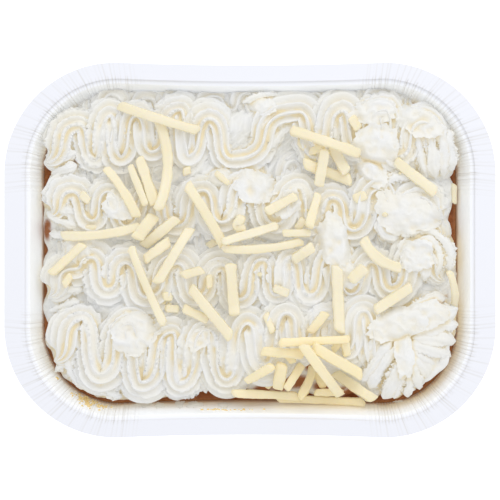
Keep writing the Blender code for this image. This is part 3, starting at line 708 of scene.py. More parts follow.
def pleat_relief(seed):
    """Depth of the creases at each station, from 0 to 1: narrow bells at uneven distances in every corner,
    deepest in the middle of the corner. The second value says how far each crease reaches out on the flange,
    and the third is the height of the board between two creases, which steps up and down."""
    travel = travel_round()
    corner = STATIONS[0]
    run = MOUTH_RADIUS * math.pi / 2 + 2 * PLEAT_RUN
    wall = np.zeros(len(travel))
    flange = np.zeros(len(travel))
    steps = np.zeros(len(travel))
    draw = np.random.default_rng(seed)
    for number in range(4):
        count = int(run / PLEAT_PITCH)
        scatter = draw.uniform(-PLEAT_SCATTER, PLEAT_SCATTER, count)
        places = (np.arange(count) + 0.5 + scatter) * run / count
        fade = smoothstep(np.minimum(places, run - places), 0, PLEAT_RUN)
        depth = draw.uniform(0.35, 1.0, count) * fade
        reach = np.where(draw.uniform(0, 1, count) < PLEATS_ON_FLANGE, draw.uniform(0.3, 1.0, count), 0.08)
        here = corner == number
        gap = travel[here][:, None] - places
        bells = np.exp(-(gap / PLEAT_HALF_WIDTH) ** 2) * depth
        wall[here] = bells.max(axis=1)
        flange[here] = (bells * reach).max(axis=1)
        level = draw.uniform(-0.5, 0.5, count + 1) * fade.mean()
        inside = smoothstep(np.minimum(travel[here], run - travel[here]), 0, PLEAT_RUN)
        steps[here] = level[np.searchsorted(places, travel[here])] * inside
    return wall, flange, steps


def tray_skin():
    """The board as one closed surface: a profile of inset and height, carried round the outline. It runs from
    the middle of the floor up the inner wall, over the ledge and the flange, round its edge and back
    underneath, where every second point is kept. In the corners the creases move it square to itself."""
    top, foot = wall_profile()
    centre_inset = foot[0] + FOOT_RADIUS * math.cos(WALL_SLOPE)
    turn = np.linspace(math.pi / 2, WALL_SLOPE, 7)
    foot_arc = np.column_stack([centre_inset - FOOT_RADIUS * np.cos(turn),
                                BOARD + FOOT_RADIUS * (1 - np.sin(turn))])
    rise = rounded_profile([tuple(foot_arc[-1]), top, (STEP_RUN, TRAY_HEIGHT - STEP_DROP),
                            (0.0, TRAY_HEIGHT - 0.02 * MM), (FLANGE_START, TRAY_HEIGHT)],
                           radius=0.5 * MM, step=1.3 * MM)
    floor = np.array([(inset * MM, BOARD) for inset in FLOOR_RINGS])
    inner = np.vstack([floor, foot_arc, rise[1:]])
    outer, normal = offset_line(inner, BOARD)
    outer[:len(FLOOR_RINGS), 1] = 0.0
    wall, flange, steps = pleat_relief(PLEAT_SEED)
    mouth_x, mouth_y = outline(MOUTH_X, MOUTH_Y, MOUTH_RADIUS)
    rim_radius = MOUTH_RADIUS + (FLANGE_ENDS + FLANGE_SIDES) / 2
    rim_x, rim_y = outline(TRAY_LENGTH / 2, TRAY_WIDTH / 2, rim_radius)
    angle = STATIONS[1]
    rows, crease_shade_masks, walls = [], [], []

    def wall_row(pair, way, underside):
        on_wall = smoothstep(pair[1], 4 * MM, 9 * MM)
        groove = wall * on_wall
        shift = -PLEAT_DEPTH * groove + BOARD_STEPS * steps * on_wall
        inset = pair[0] - way[0] * shift
        height = pair[1] - way[1] * shift
        share = np.clip(inset / MOUTH_RADIUS, 0, CORNER_SHARE)
        reach = np.maximum(inset - MOUTH_RADIUS * CORNER_SHARE, 0)
        x = mouth_x - np.cos(angle) * share * MOUTH_RADIUS
        y = mouth_y - np.sin(angle) * share * MOUTH_RADIUS
        shrink = 1 - reach / (MOUTH_Y - MOUTH_RADIUS * CORNER_SHARE)
        rows.append(np.column_stack([x * shrink, y * shrink, height * np.ones(len(x))]))
        # Painted crease shade, weaker on the underside
        crease_shade_masks.append(groove * (0.45 if underside else 1.0))
        inner = 0.0 if underside else smoothstep(pair[1], top[1] + 0.6 * MM, top[1] - 0.6 * MM)
        walls.append(np.full(len(x), inner))

    def flange_row(share, height, underside):
        groove = flange * (1 - 0.35 * share)
        x = mouth_x + (rim_x - mouth_x) * share
        y = mouth_y + (rim_y - mouth_y) * share
        ripple = BOARD_STEPS * steps * share + 0.03 * MM * lattice_noise(x, y, 9 * MM, 11)
        z = height - 0.10 * MM * groove + ripple * smoothstep(share, 0, 0.3)
        rows.append(np.column_stack([x, y, z]))
        # Painted crease shade on the flange, weaker underneath
        crease_shade_masks.append(groove * (0.3 if underside else 0.8))
        walls.append(np.zeros(len(x)))

    for pair, way in zip(inner, normal):
        wall_row(pair, way, False)
    first = -inner[-1][0] / FLANGE_ENDS
    shares = np.linspace(first, 1, FLANGE_ROWS)[1:-1]
    for share in shares:
        flange_row(share, TRAY_HEIGHT - 0.05 * MM, False)
    for share, drop in RIM_ROWS:
        flange_row(share, TRAY_HEIGHT - drop * MM, drop > 0.3)
    for share in shares[::-1]:
        flange_row(share, TRAY_HEIGHT - BOARD, True)
    for number in [len(outer) - 1, *range((len(outer) - 2) // 2 * 2, -1, -2)]:
        wall_row(outer[number], normal[number], True)
    grid = np.stack(rows)
    return closed_skin(grid), np.stack(crease_shade_masks), np.stack(walls)


def with_poles(values):
    """A field over a grid of rows as one list, with the values of its two poles added."""
    return np.concatenate([values.ravel(), [values[0].mean(), values[-1].mean()]])


class PieMaterial:
    """A Principled material and short ways to add nodes to it."""

    def __init__(self, name, roughness):
        self.material = bpy.data.materials.new(name)
        self.material.use_nodes = True
        self.tree = self.material.node_tree
        self.shader = self.tree.nodes["Principled BSDF"]
        self.shader.inputs["Roughness"].default_value = roughness
        self.coordinates = self.add("ShaderNodeTexCoord").outputs["Object"]

    def add(self, kind, **values):
        node = self.tree.nodes.new(kind)
        for key, value in values.items():
            setattr(node, key, value)
        return node

    def link(self, source, target):
        self.tree.links.new(source, target)

    def field(self, name):
        return self.add("ShaderNodeAttribute", attribute_name=name).outputs["Fac"]

    def grain(self, size, spots, coarse):
        """Outputs of the shared grain at two scales, with this share of the coarser one in its height."""
        node = self.add("ShaderNodeGroup")
        node.node_tree = bpy.data.node_groups.get("Grain") or grain_group()
        self.link(self.coordinates, node.inputs["Coordinates"])
        node.inputs["Grain size"].default_value = size
        node.inputs["Spot size"].default_value = spots
        node.inputs["Coarse share"].default_value = coarse
        return node.outputs

    def mix(self, factor, first, second):
        """Two colours mixed by a factor. Each colour may be a socket or a value."""
        node = self.add("ShaderNodeMix", data_type="RGBA")
        for socket, value in ((node.inputs[0], factor), (node.inputs[6], first), (node.inputs[7], second)):
            if isinstance(value, bpy.types.NodeSocket):
                self.link(value, socket)
            else:
                socket.default_value = (*value, 1.0)
        return node.outputs[2]

    def glow(self, colour, strength):
        self.link(colour, self.shader.inputs["Emission Color"])
        self.shader.inputs["Emission Strength"].default_value = strength

    def scatter(self, radius):
        """Light that enters comes out again a little further on."""
        self.shader.inputs["Subsurface Weight"].default_value = SCATTER_WEIGHT
        self.shader.inputs["Subsurface Radius"].default_value = radius
        self.shader.inputs["Subsurface Scale"].default_value = SCATTER_SCALE

    def bump(self, height, strength, distance):
        node = self.add("ShaderNodeBump")
        node.inputs["Strength"].default_value = strength
        node.inputs["Distance"].default_value = distance
        self.link(height, node.inputs["Height"])
        self.link(node.outputs["Normal"], self.shader.inputs["Normal"])


def new_group(name, inputs, outputs):
    """An empty shader node group with its sockets: each a name, a kind and, for an input, a default."""
    tree = bpy.data.node_groups.new(name, "ShaderNodeTree")
    for socket_name, kind, default in inputs:
        socket = tree.interface.new_socket(socket_name, in_out="INPUT", socket_type=kind)
        if default is not None:
            socket.default_value = default
    for socket_name, kind in outputs:
        tree.interface.new_socket(socket_name, in_out="OUTPUT", socket_type=kind)
    return tree, tree.nodes.new("NodeGroupInput"), tree.nodes.new("NodeGroupOutput")


def grain_group():
    """Fine grain: noise at two scales. It gives the height for a bump, and a mask of soft spots."""
    tree, start, end = new_group(
        "Grain",
        [("Coordinates", "NodeSocketVector", None), ("Grain size", "NodeSocketFloat", 900.0),
         ("Spot size", "NodeSocketFloat", 120.0), ("Coarse share", "NodeSocketFloat", 0.5)],
        [("Height", "NodeSocketFloat"), ("Spots", "NodeSocketFloat")])
    fine = tree.nodes.new("ShaderNodeTexNoise")
    fine.inputs["Detail"].default_value = 3.0
    coarse = tree.nodes.new("ShaderNodeTexNoise")
    coarse.inputs["Detail"].default_value = 4.0
    both = tree.nodes.new("ShaderNodeMix")
    spots = tree.nodes.new("ShaderNodeMapRange")
    spots.inputs["From Min"].default_value = 0.35
    spots.inputs["From Max"].default_value = 0.65
    link = tree.links.new
    link(start.outputs["Coordinates"], fine.inputs["Vector"])
    link(start.outputs["Coordinates"], coarse.inputs["Vector"])
    link(start.outputs["Grain size"], fine.inputs["Scale"])
    link(start.outputs["Spot size"], coarse.inputs["Scale"])
    link(start.outputs["Coarse share"], both.inputs[0])
    link(fine.outputs["Fac"], both.inputs[2])
    link(coarse.outputs["Fac"], both.inputs[3])
    link(coarse.outputs["Fac"], spots.inputs["Value"])
    link(both.outputs[0], end.inputs["Height"])
    link(spots.outputs["Result"], end.inputs["Spots"])
    return tree


def board_material():
    """White coated board: bluish on the flange, a little warmer down the inner wall as painted reflection of
    the food, beige low on the wall that is partly stain and partly painted shade and bounce light from the
    gravy, stained brown at the gravy line, and painted grey shade in the creases. The inner wall has a painted
    glow that stands for daylight coming through the thin board."""
    look = settings()
    made = PieMaterial("Coated board", 0.42)
    grain = made.grain(size=1400.0, spots=260.0, coarse=0.3)
    # Painted reflection: the inner wall is a little warmer, as if lit by light bounced off the food
    inner = made.mix(made.field("wall"), tuple(look.board_colour), WALL_WARM_REFLECTION_COLOUR)
    # Beige low on the wall: partly stain, partly painted shade and bounce light from the gravy
    warm = made.mix(made.field("depth"), inner, WALL_STAIN_AND_SHADE_BEIGE)
    stained = made.mix(made.field("stain"), warm, tuple(look.stain_colour))
    # Painted grey shade in the creases
    crease_shaded = made.mix(made.field("crease"), stained, CREASE_SHADE_COLOUR)
    # Painted glow on the inner wall only, standing for daylight through the thin board
    through = made.mix(made.field("wall"), (0.0, 0.0, 0.0), crease_shaded)
    made.glow(through, WALL_PAINTED_GLOW)
    made.link(crease_shaded, made.shader.inputs["Base Color"])
    made.bump(grain["Height"], strength=0.15, distance=0.05 * MM)
    return made.material


def gravy_material():
    """Dark meat in gravy: lighter brown mince in spots, a painted highlight of lighter, yellower brown along
    the edge by the wall, and a wet film on top.
    """
    look = settings()
    made = PieMaterial("Meat and gravy", 0.5)
    grain = made.grain(size=800.0, spots=380.0, coarse=0.6)
    base = made.mix(grain["Spots"], tuple(look.gravy_colour), MINCE_COLOUR)
    # Painted highlight along the edge by the wall
    fat = made.mix(made.field("edge"), base, EDGE_HIGHLIGHT_COLOUR)
    made.link(fat, made.shader.inputs["Base Color"])
    made.shader.inputs["Specular IOR Level"].default_value = 0.3
    made.bump(grain["Height"], strength=0.8, distance=0.6 * MM)
    return made.material


def mash_material():
    """Cool mashed potato: pale grey-white tops with a painted warm shade between the ridges and in deep
    places, with a fine moist grain. A weak painted glow of its own colour stands for light that scatters far
    inside it."""
    look = settings()
    made = PieMaterial("Mashed potato", 0.55)
    grain = made.grain(size=1500.0, spots=110.0, coarse=0.35)
    tone = made.mix(grain["Spots"], tuple(look.mash_colour), MASH_SPOT_COLOUR)
    # Painted shade: warmer, darker colour between the ridges and in deep places
    warm = made.mix(made.field("cavity_shade"), tone, tuple(look.mash_valley_shade_colour))
    made.scatter((1.0, 1.0, 1.0))
    made.shader.inputs["Specular IOR Level"].default_value = 0.3
    brown = made.mix(made.field("gravy"), warm, MASH_GRAVY_COLOUR)
    made.link(brown, made.shader.inputs["Base Color"])
    # Painted glow of its own colour that lifts the shade
    made.glow(brown, MASH_PAINTED_GLOW)
    made.bump(grain["Height"], strength=0.4, distance=0.4 * MM)
    return made.material


def cheese_material():
    """Pale yellow cheese: pale faces with faint lengthwise streaks, a deeper yellow that is painted shade low
    on the sides and the shreds' own tone, and a weak painted glow.
    """
    look = settings()
    made = PieMaterial("Grated cheese", 0.45)
    grain = made.grain(size=1300.0, spots=300.0, coarse=0.4)
    pale = made.mix(made.field("streak"), tuple(look.cheese_colour), CHEESE_STREAK_COLOUR)
    # Painted shade low on the sides, with each shred's own tone
    deep = made.mix(made.field("shade"), pale, CHEESE_SHADE_AND_TONE_COLOUR)
    made.link(deep, made.shader.inputs["Base Color"])
    # Painted glow that lifts the shade
    made.glow(deep, CHEESE_PAINTED_GLOW)
    made.scatter((1.0, 0.8, 0.35))
    made.shader.inputs["Specular IOR Level"].default_value = 0.4
    made.bump(grain["Height"], strength=0.35, distance=0.25 * MM)
    return made.material


def shared_material(name, build):
    return bpy.data.materials.get(name) or build()


def rope_line(turns, scatter, draw):
    """Centre line of one row, from turn to turn: the way along y is eased by a cosine, and the way along x is
    bunched so that legs run steeply and turns are round. Gives x, y and the height above the rope's axis."""
    turns = np.array(turns, float)
    lifts = draw.uniform(-1, 1, len(turns)) * scatter
    lengths = np.linalg.norm(np.diff(turns, axis=0), axis=1) * MM
    xs, ys, zs = [], [], []
    middle = turns[:, 1].mean()
    reach = np.abs(turns[:, 1] - middle).max()
    for leg, length in enumerate(lengths):
        share = np.arange(0, 1, ROPE_STEP / length)
        eased = (1 - np.cos(np.pi * share)) / 2
        bunched = share + LEG_STEEPNESS * np.sin(2 * np.pi * share) / (2 * np.pi)
        x = turns[leg, 0] + (turns[leg + 1, 0] - turns[leg, 0]) * bunched
        y = turns[leg, 1] + (turns[leg + 1, 1] - turns[leg, 1]) * eased
        crown = ROW_CROWN * (1 - ((y - middle) / reach) ** 2)
        xs.append(x * MM)
        ys.append(y * MM)
        zs.append(lifts[leg] + (lifts[leg + 1] - lifts[leg]) * eased + crown + ROW_TILT * (y - middle) * MM)
    return np.concatenate(xs), np.concatenate(ys), np.concatenate(zs)


def blurred(values, radius, passes=2):
    """The values averaged over this many neighbours each way, ends held."""
    kernel = np.ones(2 * radius + 1) / (2 * radius + 1)
    for _ in range(passes):
        values = np.convolve(np.pad(values, radius, mode="edge"), kernel, mode="valid")
    return values


def unmarked(grid):
    """A grid with a field of zeros for painted groove shade, for mash that has no grooves of its own."""
    return grid, np.zeros(grid.shape[:2])


def rope_section(columns, steepest=118):
    """Angles round a rope's section from its top: close up to the steepest, in degrees, and wide below it."""
    upper = np.linspace(-steepest, steepest, columns)
    lower = np.arange(steepest + 10, 360 - steepest - 5, 12)
    return np.radians(np.concatenate([upper, lower]))


def swept_rope(x, y, crest, angle, radius, rise, root):
    """Carries a section along a line. Each point lies aside of the line by radius times the sine of its angle
    and above the rope's axis by radius times the cosine, stretched by the rise above it and the root below.
    On the inside of a turn the way aside is squeezed by tanh so that the two sides meet in a seam there. The
    rope leans back onto what lies before it."""
    heading = blurred(np.unwrap(np.arctan2(np.gradient(y), np.gradient(x))), 2)
    travel = travelled(x, y)
    curve = blurred(np.gradient(heading, travel), 2)
    across = radius * np.sin(angle)
    tightest = SQUEEZE / np.maximum(np.abs(curve), 1e-6)[:, None]
    inner = across * np.sign(curve)[:, None] > 0
    across = np.where(inner, tightest * np.tanh(across / tightest), across)
    side_x = -np.sin(heading)[:, None] * across
    side_y = np.cos(heading)[:, None] * across
    above = radius * np.cos(angle) * np.where(np.cos(angle) > 0, rise, root)
    z = np.maximum(crest[:, None] + above - LEAN * side_x, MASH_FOOT + 0.1 * MM)
    return np.stack(keep_inside(x[:, None] + side_x, y[:, None] + side_y, z), axis=-1)


def tip_taper(travel, reach, bluntness):
    """Share of the full section along a rope that runs out to points: 1 - (1 - end) ** bluntness."""
    end = np.clip(np.minimum(travel, travel[-1] - travel) / reach, 0, 1)
    return np.clip(1 - (1 - end) ** bluntness, 0.03, 1)[:, None] ** 0.8


def teeth(along, round_, pitch, seed):
    """Torn teeth from 0 to 1: a saw along the rope that rises slowly and drops at once, unevenly spaced."""
    phase = (along / pitch + 1.7 * lattice_noise(along, round_, 6 * MM, seed)
             + 0.8 * lattice_noise(along, round_, 2.2 * MM, seed + 1))
    return phase - np.floor(phase)


def notches(along, round_, seed):
    """How deep the tears are, from 0 to about 1: teeth, with smaller nicks between them."""
    return (TOOTH_SHARE * teeth(along, round_ * 0.4, TOOTH_PITCH, seed)
            + NICK_SHARE * np.abs(lattice_noise(along, round_ * 0.5, NICK_CELL, seed + 5)))


def rope_grid(x, y, lift, axis, seed):
    """A piped rope: radius = half width * (1 - depth * fade * valley), less the tears, plus small bumps. Here
    valley = ((1 - cos(phase + sin(phase) / 2)) / 2) ** 1.1, less on the flanks, and phase is the number of
    lobes times the angle plus noise that makes the ridges wander. Noise fades the ridges, and says where
    crests and flanks are torn."""
    look = settings()
    half_width = look.rope_width / 2
    travel = travelled(x, y)
    angle = rope_section(ROPE_COLUMNS)
    along, round_ = np.meshgrid(travel, angle * half_width, indexing="ij")
    upward = smoothstep(np.cos(angle), *UNDERSIDE)
    wander = (RIDGE_WANDER * lattice_noise(along, round_, 15 * MM, seed)
              + SMALL_WANDER * lattice_noise(along, round_, 6 * MM, seed + 6))
    phase = ROPE_LOBES * angle + wander
    fade = 1 - RIDGE_FADE * smoothstep(lattice_noise(along, round_, 8 * MM, seed + 1), 0.0, 0.75)
    valley = (0.5 - 0.5 * np.cos(phase + 0.5 * np.sin(phase))) ** 1.1 * (1 - 0.45 * np.sin(angle) ** 4)
    crest = np.clip(np.cos(phase), 0, 1) ** 2
    torn = smoothstep(lattice_noise(along, round_, 12 * MM, seed + 2), -0.5, 0.15)
    flank = smoothstep(np.abs(np.sin(angle)), 0.5, 0.9) * upward
    notch = notches(along, round_, seed + 3)
    bumps = (ROPE_GRAIN * fractal_noise(along, round_, 2.4 * MM, seed + 4)
             + FINE_RIDGES * np.cos(2 * phase + lattice_noise(along, round_, 9 * MM, seed + 9)) * upward
             + ROPE_UNEVEN * lattice_noise(along, round_, 6 * MM, seed + 7))
    swell = 1 + ROPE_SWELL * lattice_noise(travel, travel * 0, 13 * MM, seed + 5)[:, None]
    radius = (half_width * (1 - look.lobe_depth * fade * valley * upward) * swell + bumps
              - look.tear_depth * notch * torn * np.maximum(crest * CREST_TEARS, flank))
    radius = radius * tip_taper(travel, ROPE_TIP * half_width, 1.7)
    grid = swept_rope(x, y, axis + lift, angle, radius, look.rope_rise / half_width,
                      (axis - MASH_FOOT - 0.2 * MM) / half_width)
    # The second value is the mask of painted shade in the grooves
    return grid, valley * fade * upward


def fold_grid(fold, seed):
    """One fold of mash along a smooth line: a narrow ridge whose crest goes from the first height to the last
    by the share of its length to the power 1.6, with torn edges and a root down in the heap."""
    look = settings()
    width, first, last, *points = fold
    points = np.array(points, float) * MM
    length = np.linalg.norm(np.diff(points, axis=0), axis=1).sum()
    line = smooth_line(points, int(length / ROPE_STEP))
    travel = travelled_in_space(line)
    share = travel / travel[-1]
    angle = rope_section(FOLD_COLUMNS)
    half_width = width / 2 * MM
    along, round_ = np.meshgrid(travel, angle * half_width, indexing="ij")
    notch = notches(along, round_, seed + 3)
    torn = smoothstep(lattice_noise(along, round_, 7 * MM, seed + 2), -0.6, 0.1)
    flank = smoothstep(np.abs(np.sin(angle)), 0.3, 0.9)
    swell = 1 + FOLD_SWELL * lattice_noise(along, round_, 4.5 * MM, seed + 5)
    stripes = 1 + FOLD_STRIPES * np.cos(9 * angle + 1.5 * lattice_noise(along, round_, 6 * MM, seed + 7))
    radius = (half_width * swell * stripes + FOLD_GRAIN * fractal_noise(along, round_, 2.2 * MM, seed + 4)
              - look.tear_depth * notch * torn * flank)
    radius = radius * tip_taper(travel, FOLD_TIP * half_width, 2.1)
    uneven = np.random.default_rng(seed).uniform(-FOLD_UNEVEN, FOLD_UNEVEN)
    crest = (first + (last - first) * share ** 1.6) * MM + uneven * smoothstep(share, 0, 0.4)
    grid = swept_rope(line[:, 0], line[:, 1], crest - FOLD_RISE * half_width, angle, radius, FOLD_RISE,
                      FOLD_ROOT / half_width)
    # The second value is painted shade on the fold's flanks
    return grid, FOLD_FLANK_SHADE * flank * np.ones(radius.shape)


def backing_grid(backing, seed):
    """A deeper rope that runs to and fro along a straight strip at an even pitch, on every second row and
    column of its grid."""
    first, last, middle, half = backing
    places = np.arange(first, last, BACKING_PITCH)
    draw = np.random.default_rng(seed)
    turns_x = places + draw.uniform(-1, 1, len(places))
    turns_y = middle + half * (-1.0) ** np.arange(len(places)) + draw.uniform(-1, 1, len(places))
    x, y, lift = rope_line(np.column_stack([turns_x, turns_y]), LEG_SCATTER, draw)
    grid, valley = rope_grid(x, y, lift, BACKING_AXIS, seed)
    return grid[::2, ::2], valley[::2, ::2]


def polar(columns, rows, first):
    """Angles round a polar grid, and shares of its radius from the first to 1."""
    return np.arange(columns) * 2 * math.pi / columns, np.linspace(first, 1, rows)[:, None]


def rim_noise(phi, reach, seed, shift=0):
    """Noise round a rim that meets itself: lattice noise on a circle."""
    return lattice_noise(np.cos(phi) * reach + shift, np.sin(phi) * reach, 1.0, seed)


def lump_grid(lump, ground, seed):
    """A pressed lump over a polar grid: a flat-topped rise with pits, which comes down to a little above the
    mean level of the ropes round it at a ragged rim, and turns down inside them."""
    look = settings()
    centre_x, centre_y, long, wide, turn, top = lump
    turn = math.radians(turn)
    phi, v = polar(*LUMP_GRID, 0.02)
    ragged = 1 + sum(share * rim_noise(phi, reach, seed + step, shift)
                     for reach, share, step, shift in LUMP_RAGGED)
    spread = np.sin(np.clip(v * 1.32, 0, 1) * math.pi / 2) * (1 - 0.2 * smoothstep(v, 0.82, 1.0))
    reach = spread * (1 + (ragged - 1) * smoothstep(v, 0.35, 0.8))
    along = reach * np.cos(phi) * long * MM
    aside = reach * np.sin(phi) * wide * MM
    x = centre_x * MM + along * math.cos(turn) - aside * math.sin(turn)
    y = centre_y * MM + along * math.sin(turn) + aside * math.cos(turn)
    xs, ys, level = ground
    rim = sample_field(xs, ys, level, x, y) + LUMP_STEP
    inwards = smoothstep(spread, 1.04, 0.5)
    turned_x, turned_y = 0.8 * x + 0.6 * y, 0.8 * y - 0.6 * x
    bumps = look.lump_roughness * (0.6 * fractal_noise(x, y, 6.0 * MM, seed + 2)
                                   - np.abs(fractal_noise(turned_x, turned_y, 4.6 * MM, seed + 6, 2)))
    grain = 0.22 * MM * fractal_noise(x, y, 1.8 * MM, seed + 9, 2)
    z = rim + (top * MM - rim) * inwards + bumps + grain - LUMP_DEPTH * smoothstep(v, 0.76, 1.0)
    # Painted shade in the pits between the bumps
    pit_shade = 0.55 * smoothstep(-bumps, -0.2 * MM, 0.7 * MM) + 0 * z
    return np.stack(keep_inside(x, y, np.maximum(z, MASH_FOOT + 1 * MM)), axis=-1), pit_shade


def dollop_grid(seed):
    """The mound under the last dollop's folds, over a polar grid: a dome with a flat top and an uneven face,
    whose height is top - drop * (1 - sqrt(1 - (0.97 v) ** 2.4)) at the share v of its radius."""
    phi, v = polar(*DOLLOP_GRID, 0.01)
    spread = np.clip(v * 1.15, 0, 1) ** 0.9
    rim = 1 + 0.06 * rim_noise(phi, 2.5, seed)
    reach = spread * rim * (1 - 0.12 * smoothstep(v, 0.87, 1.0))
    x = (DOLLOP_AT[0] + reach * DOLLOP_REACH[0] * np.cos(phi)) * MM
    y = (DOLLOP_AT[1] + reach * DOLLOP_REACH[1] * np.sin(phi)) * MM
    dome = DOLLOP_TOP - DOLLOP_DROP * (1 - np.sqrt(np.clip(1 - (v * 0.97) ** 2.4, 0, 1)))
    rough = 0.35 * fractal_noise(x, y, 3.0 * MM, seed + 2) + 0.8 * lattice_noise(x, y, 9 * MM, seed + 5)
    z = np.maximum((dome + rough) * MM, MASH_FOOT + 0.5 * MM)
    return unmarked(np.stack(keep_inside(x, y, z), axis=-1))


def plug_grid(turn, away, seed):
    """A small dome inside one turn of a rope, over a polar grid: a quarter of an ellipse turned round."""
    phi, v = polar(*PLUG_GRID, 0.05)
    x = turn[0] * MM + np.sin(v * math.pi / 2) * np.cos(phi) * PLUG_REACH[0]
    y = turn[1] * MM + away * PLUG_AWAY + np.sin(v * math.pi / 2) * np.sin(phi) * PLUG_REACH[1]
    z = PLUG_TOP - PLUG_DROP * (1 - np.cos(v * math.pi / 2)) + PLUG_GRAIN * fractal_noise(x, y, 3 * MM, seed)
    return unmarked(np.stack(keep_inside(x, y, z), axis=-1))


def row_plugs(turns, seed):
    """The domes inside all turns of one row: away from the turn, towards the row's middle line."""
    middle = np.mean(turns, axis=0)[1]
    return [plug_grid(turn, math.copysign(1.0, middle - turn[1]), seed) for turn in turns[1:-1]]


def oval(x, y, centre_x, centre_y, long, wide, turn=0):
    """Square of the distance from the middle of an oval, 1 on its rim. Its place and half sizes are in mm."""
    turn = math.radians(turn)
    east, north = x - centre_x * MM, y - centre_y * MM
    return (((east * math.cos(turn) + north * math.sin(turn)) / (long * MM)) ** 2
            + ((north * math.cos(turn) - east * math.sin(turn)) / (wide * MM)) ** 2)


def gap_depth(x, y):
    """How far the mash stands back from the wall: a bell at each gap and a little noise, in metres."""
    depth = GAP_LEAST + GAP_NOISE * np.abs(fractal_noise(x, y, 5 * MM, 33))
    for gap_x, gap_y, reach, deep in GAPS:
        away = np.hypot(x - gap_x * MM, y - gap_y * MM) / (reach * MM)
        depth = depth + deep * MM * np.exp(-away ** 2)
    return depth


def sunk(x, y, z):
    """The heights with the hollows taken out: flat in the middle, rising ever more steeply to the rim."""
    for *place, floor in HOLLOWS:
        z = np.minimum(z, floor * MM + HOLLOW_DEPTH * oval(x, y, *place) ** 2)
    return z


def mounds(x, y):
    """How much the mash under the ropes rises between them: a bell at each mound, in metres."""
    rise = 0 * x
    for *place, high in MOUNDS:
        rise = rise + high * MM * np.exp(-oval(x, y, *place))
    return rise


def core_grid():
    """The mash under the ropes: rings inside the tray's outline with slanting ridges, as a cosine whose phase
    wanders, raised at the mounds and taken down in the hollows. A skirt slopes down to the filling and stands
    back from the wall at the gaps."""
    mouth_x, mouth_y, angle = even_mouth(CORE_COLUMNS)
    edge = wall_inset(SKIRT[-1][1] * MM) + gap_depth(mouth_x * GAP_PLACE[0], mouth_y * GAP_PLACE[1])
    profile = [(np.full(len(angle), inset * MM), CORE_LEVEL) for inset in np.arange(*CORE_RINGS)]
    profile += [(edge + inset * MM, height * MM) for inset, height in SKIRT]
    rows = []
    for inset, height in profile:
        x, y = ring_inside(mouth_x, mouth_y, angle, inset)
        across = y * math.cos(CORE_WAY) - x * math.sin(CORE_WAY)
        ridges = np.cos(2 * math.pi * across / CORE_PITCH + CORE_WANDER * lattice_noise(x, y, 9 * MM, 37))
        z = (height + mounds(x, y) + CORE_RIDGES * ridges + CORE_UNEVEN * fractal_noise(x, y, 5 * MM, 31)
             + CORE_GRAIN * np.abs(lattice_noise(x, y, 1.8 * MM, 35)))
        rows.append(np.column_stack([x, y, np.maximum(sunk(x, y, z), FILLING_TOP - 0.3 * MM)]))
    base = rows[-1].copy()
    base[:, 2] = FILLING_TOP - 0.8 * MM
    return unmarked(np.stack(rows + [base, base * (0.5, 0.5, 1.0)]))


def nearest_cell(starts, places):
    """Number of the cell that starts nearest to each place, within the field."""
    return np.clip(np.round((places - starts[0]) / SUPPORT_STEP).astype(int), 0, len(starts) - 1)


def height_field(clouds):
    """Highest point of the clouds in each cell of a level grid."""
    xs = np.arange(-TRAY_LENGTH / 2, TRAY_LENGTH / 2, SUPPORT_STEP)
    ys = np.arange(-TRAY_WIDTH / 2, TRAY_WIDTH / 2, SUPPORT_STEP)
    field = np.full((len(xs), len(ys)), FILLING_TOP)
    for cloud in clouds:
        np.maximum.at(field, (nearest_cell(xs, cloud[:, 0]), nearest_cell(ys, cloud[:, 1])), cloud[:, 2])
    return xs, ys, field


def spread_field(field, reach):
    """The field averaged over a square of cells."""
    size = 2 * reach + 1
    for axis in (0, 1):
        pad = [(reach + 1, reach) if a == axis else (0, 0) for a in (0, 1)]
        total = np.cumsum(np.pad(field, pad, mode="edge"), axis=axis)
        high = np.take(total, range(size, total.shape[axis]), axis=axis)
        low = np.take(total, range(total.shape[axis] - size), axis=axis)
        field = (high - low) / size
    return field


def sample_field(xs, ys, field, x, y):
    """The field between its cells, blended by nearness."""
    column = np.clip((x - xs[0]) / SUPPORT_STEP, 0, len(xs) - 1.001)
    row = np.clip((y - ys[0]) / SUPPORT_STEP, 0, len(ys) - 1.001)
    left, low = column.astype(int), row.astype(int)
    u, v = column - left, row - low
    return ((field[left, low] * (1 - u) + field[left + 1, low] * u) * (1 - v)
            + (field[left, low + 1] * (1 - u) + field[left + 1, low + 1] * u) * v)


def mash_parts():
    """Every part of the mash by name, as lists of grids, each with its mask of painted groove shade."""
    draw = np.random.default_rng(LEG_SEED)
    parts = {}
    for number, turns in enumerate(ROWS):
        x, y, lift = rope_line(turns, LEG_SCATTER, draw)
        axis = ROPE_AXIS + number * ROW_RISE
        parts[f"mash_rope_{number + 1}"] = [rope_grid(x, y, lift, axis, ROPE_SEED + 10 * number)]
    parts["mash_backing"] = [backing_grid(backing, BACKING_SEED + 7 * number)
                             for number, backing in enumerate(BACKINGS)]
    parts["mash_folds"] = [fold_grid(fold, FOLD_SEED + 10 * number) for number, fold in enumerate(FOLDS)]
    parts["mash_core"] = [core_grid(), dollop_grid(DOLLOP_SEED)]
    for number, turns in enumerate(ROWS):
        parts["mash_core"] += row_plugs(turns, PLUG_SEED + number)
    clouds = [grid.reshape(-1, 3) for grids in parts.values() for grid, _ in grids]
    xs, ys, field = height_field(clouds)
    ground = xs, ys, spread_field(field, LUMP_BLUR)
    parts["mash_lumps"] = [lump_grid(lump, ground, LUMP_SEED + 10 * number)
                           for number, lump in enumerate(LUMPS)]
    return parts


def cavity_of(points, xs, ys, levels):
    """How far points lie below the mean level of the mash around them, on each of the scales, as the share of
    painted warm shade.
    """
    x, y, z = points.T
    return sum(share * smoothstep(sample_field(xs, ys, level, x, y) - z, start, end)
               for level, (_, share, start, end) in zip(levels, CAVITY_SHADE_SCALES))


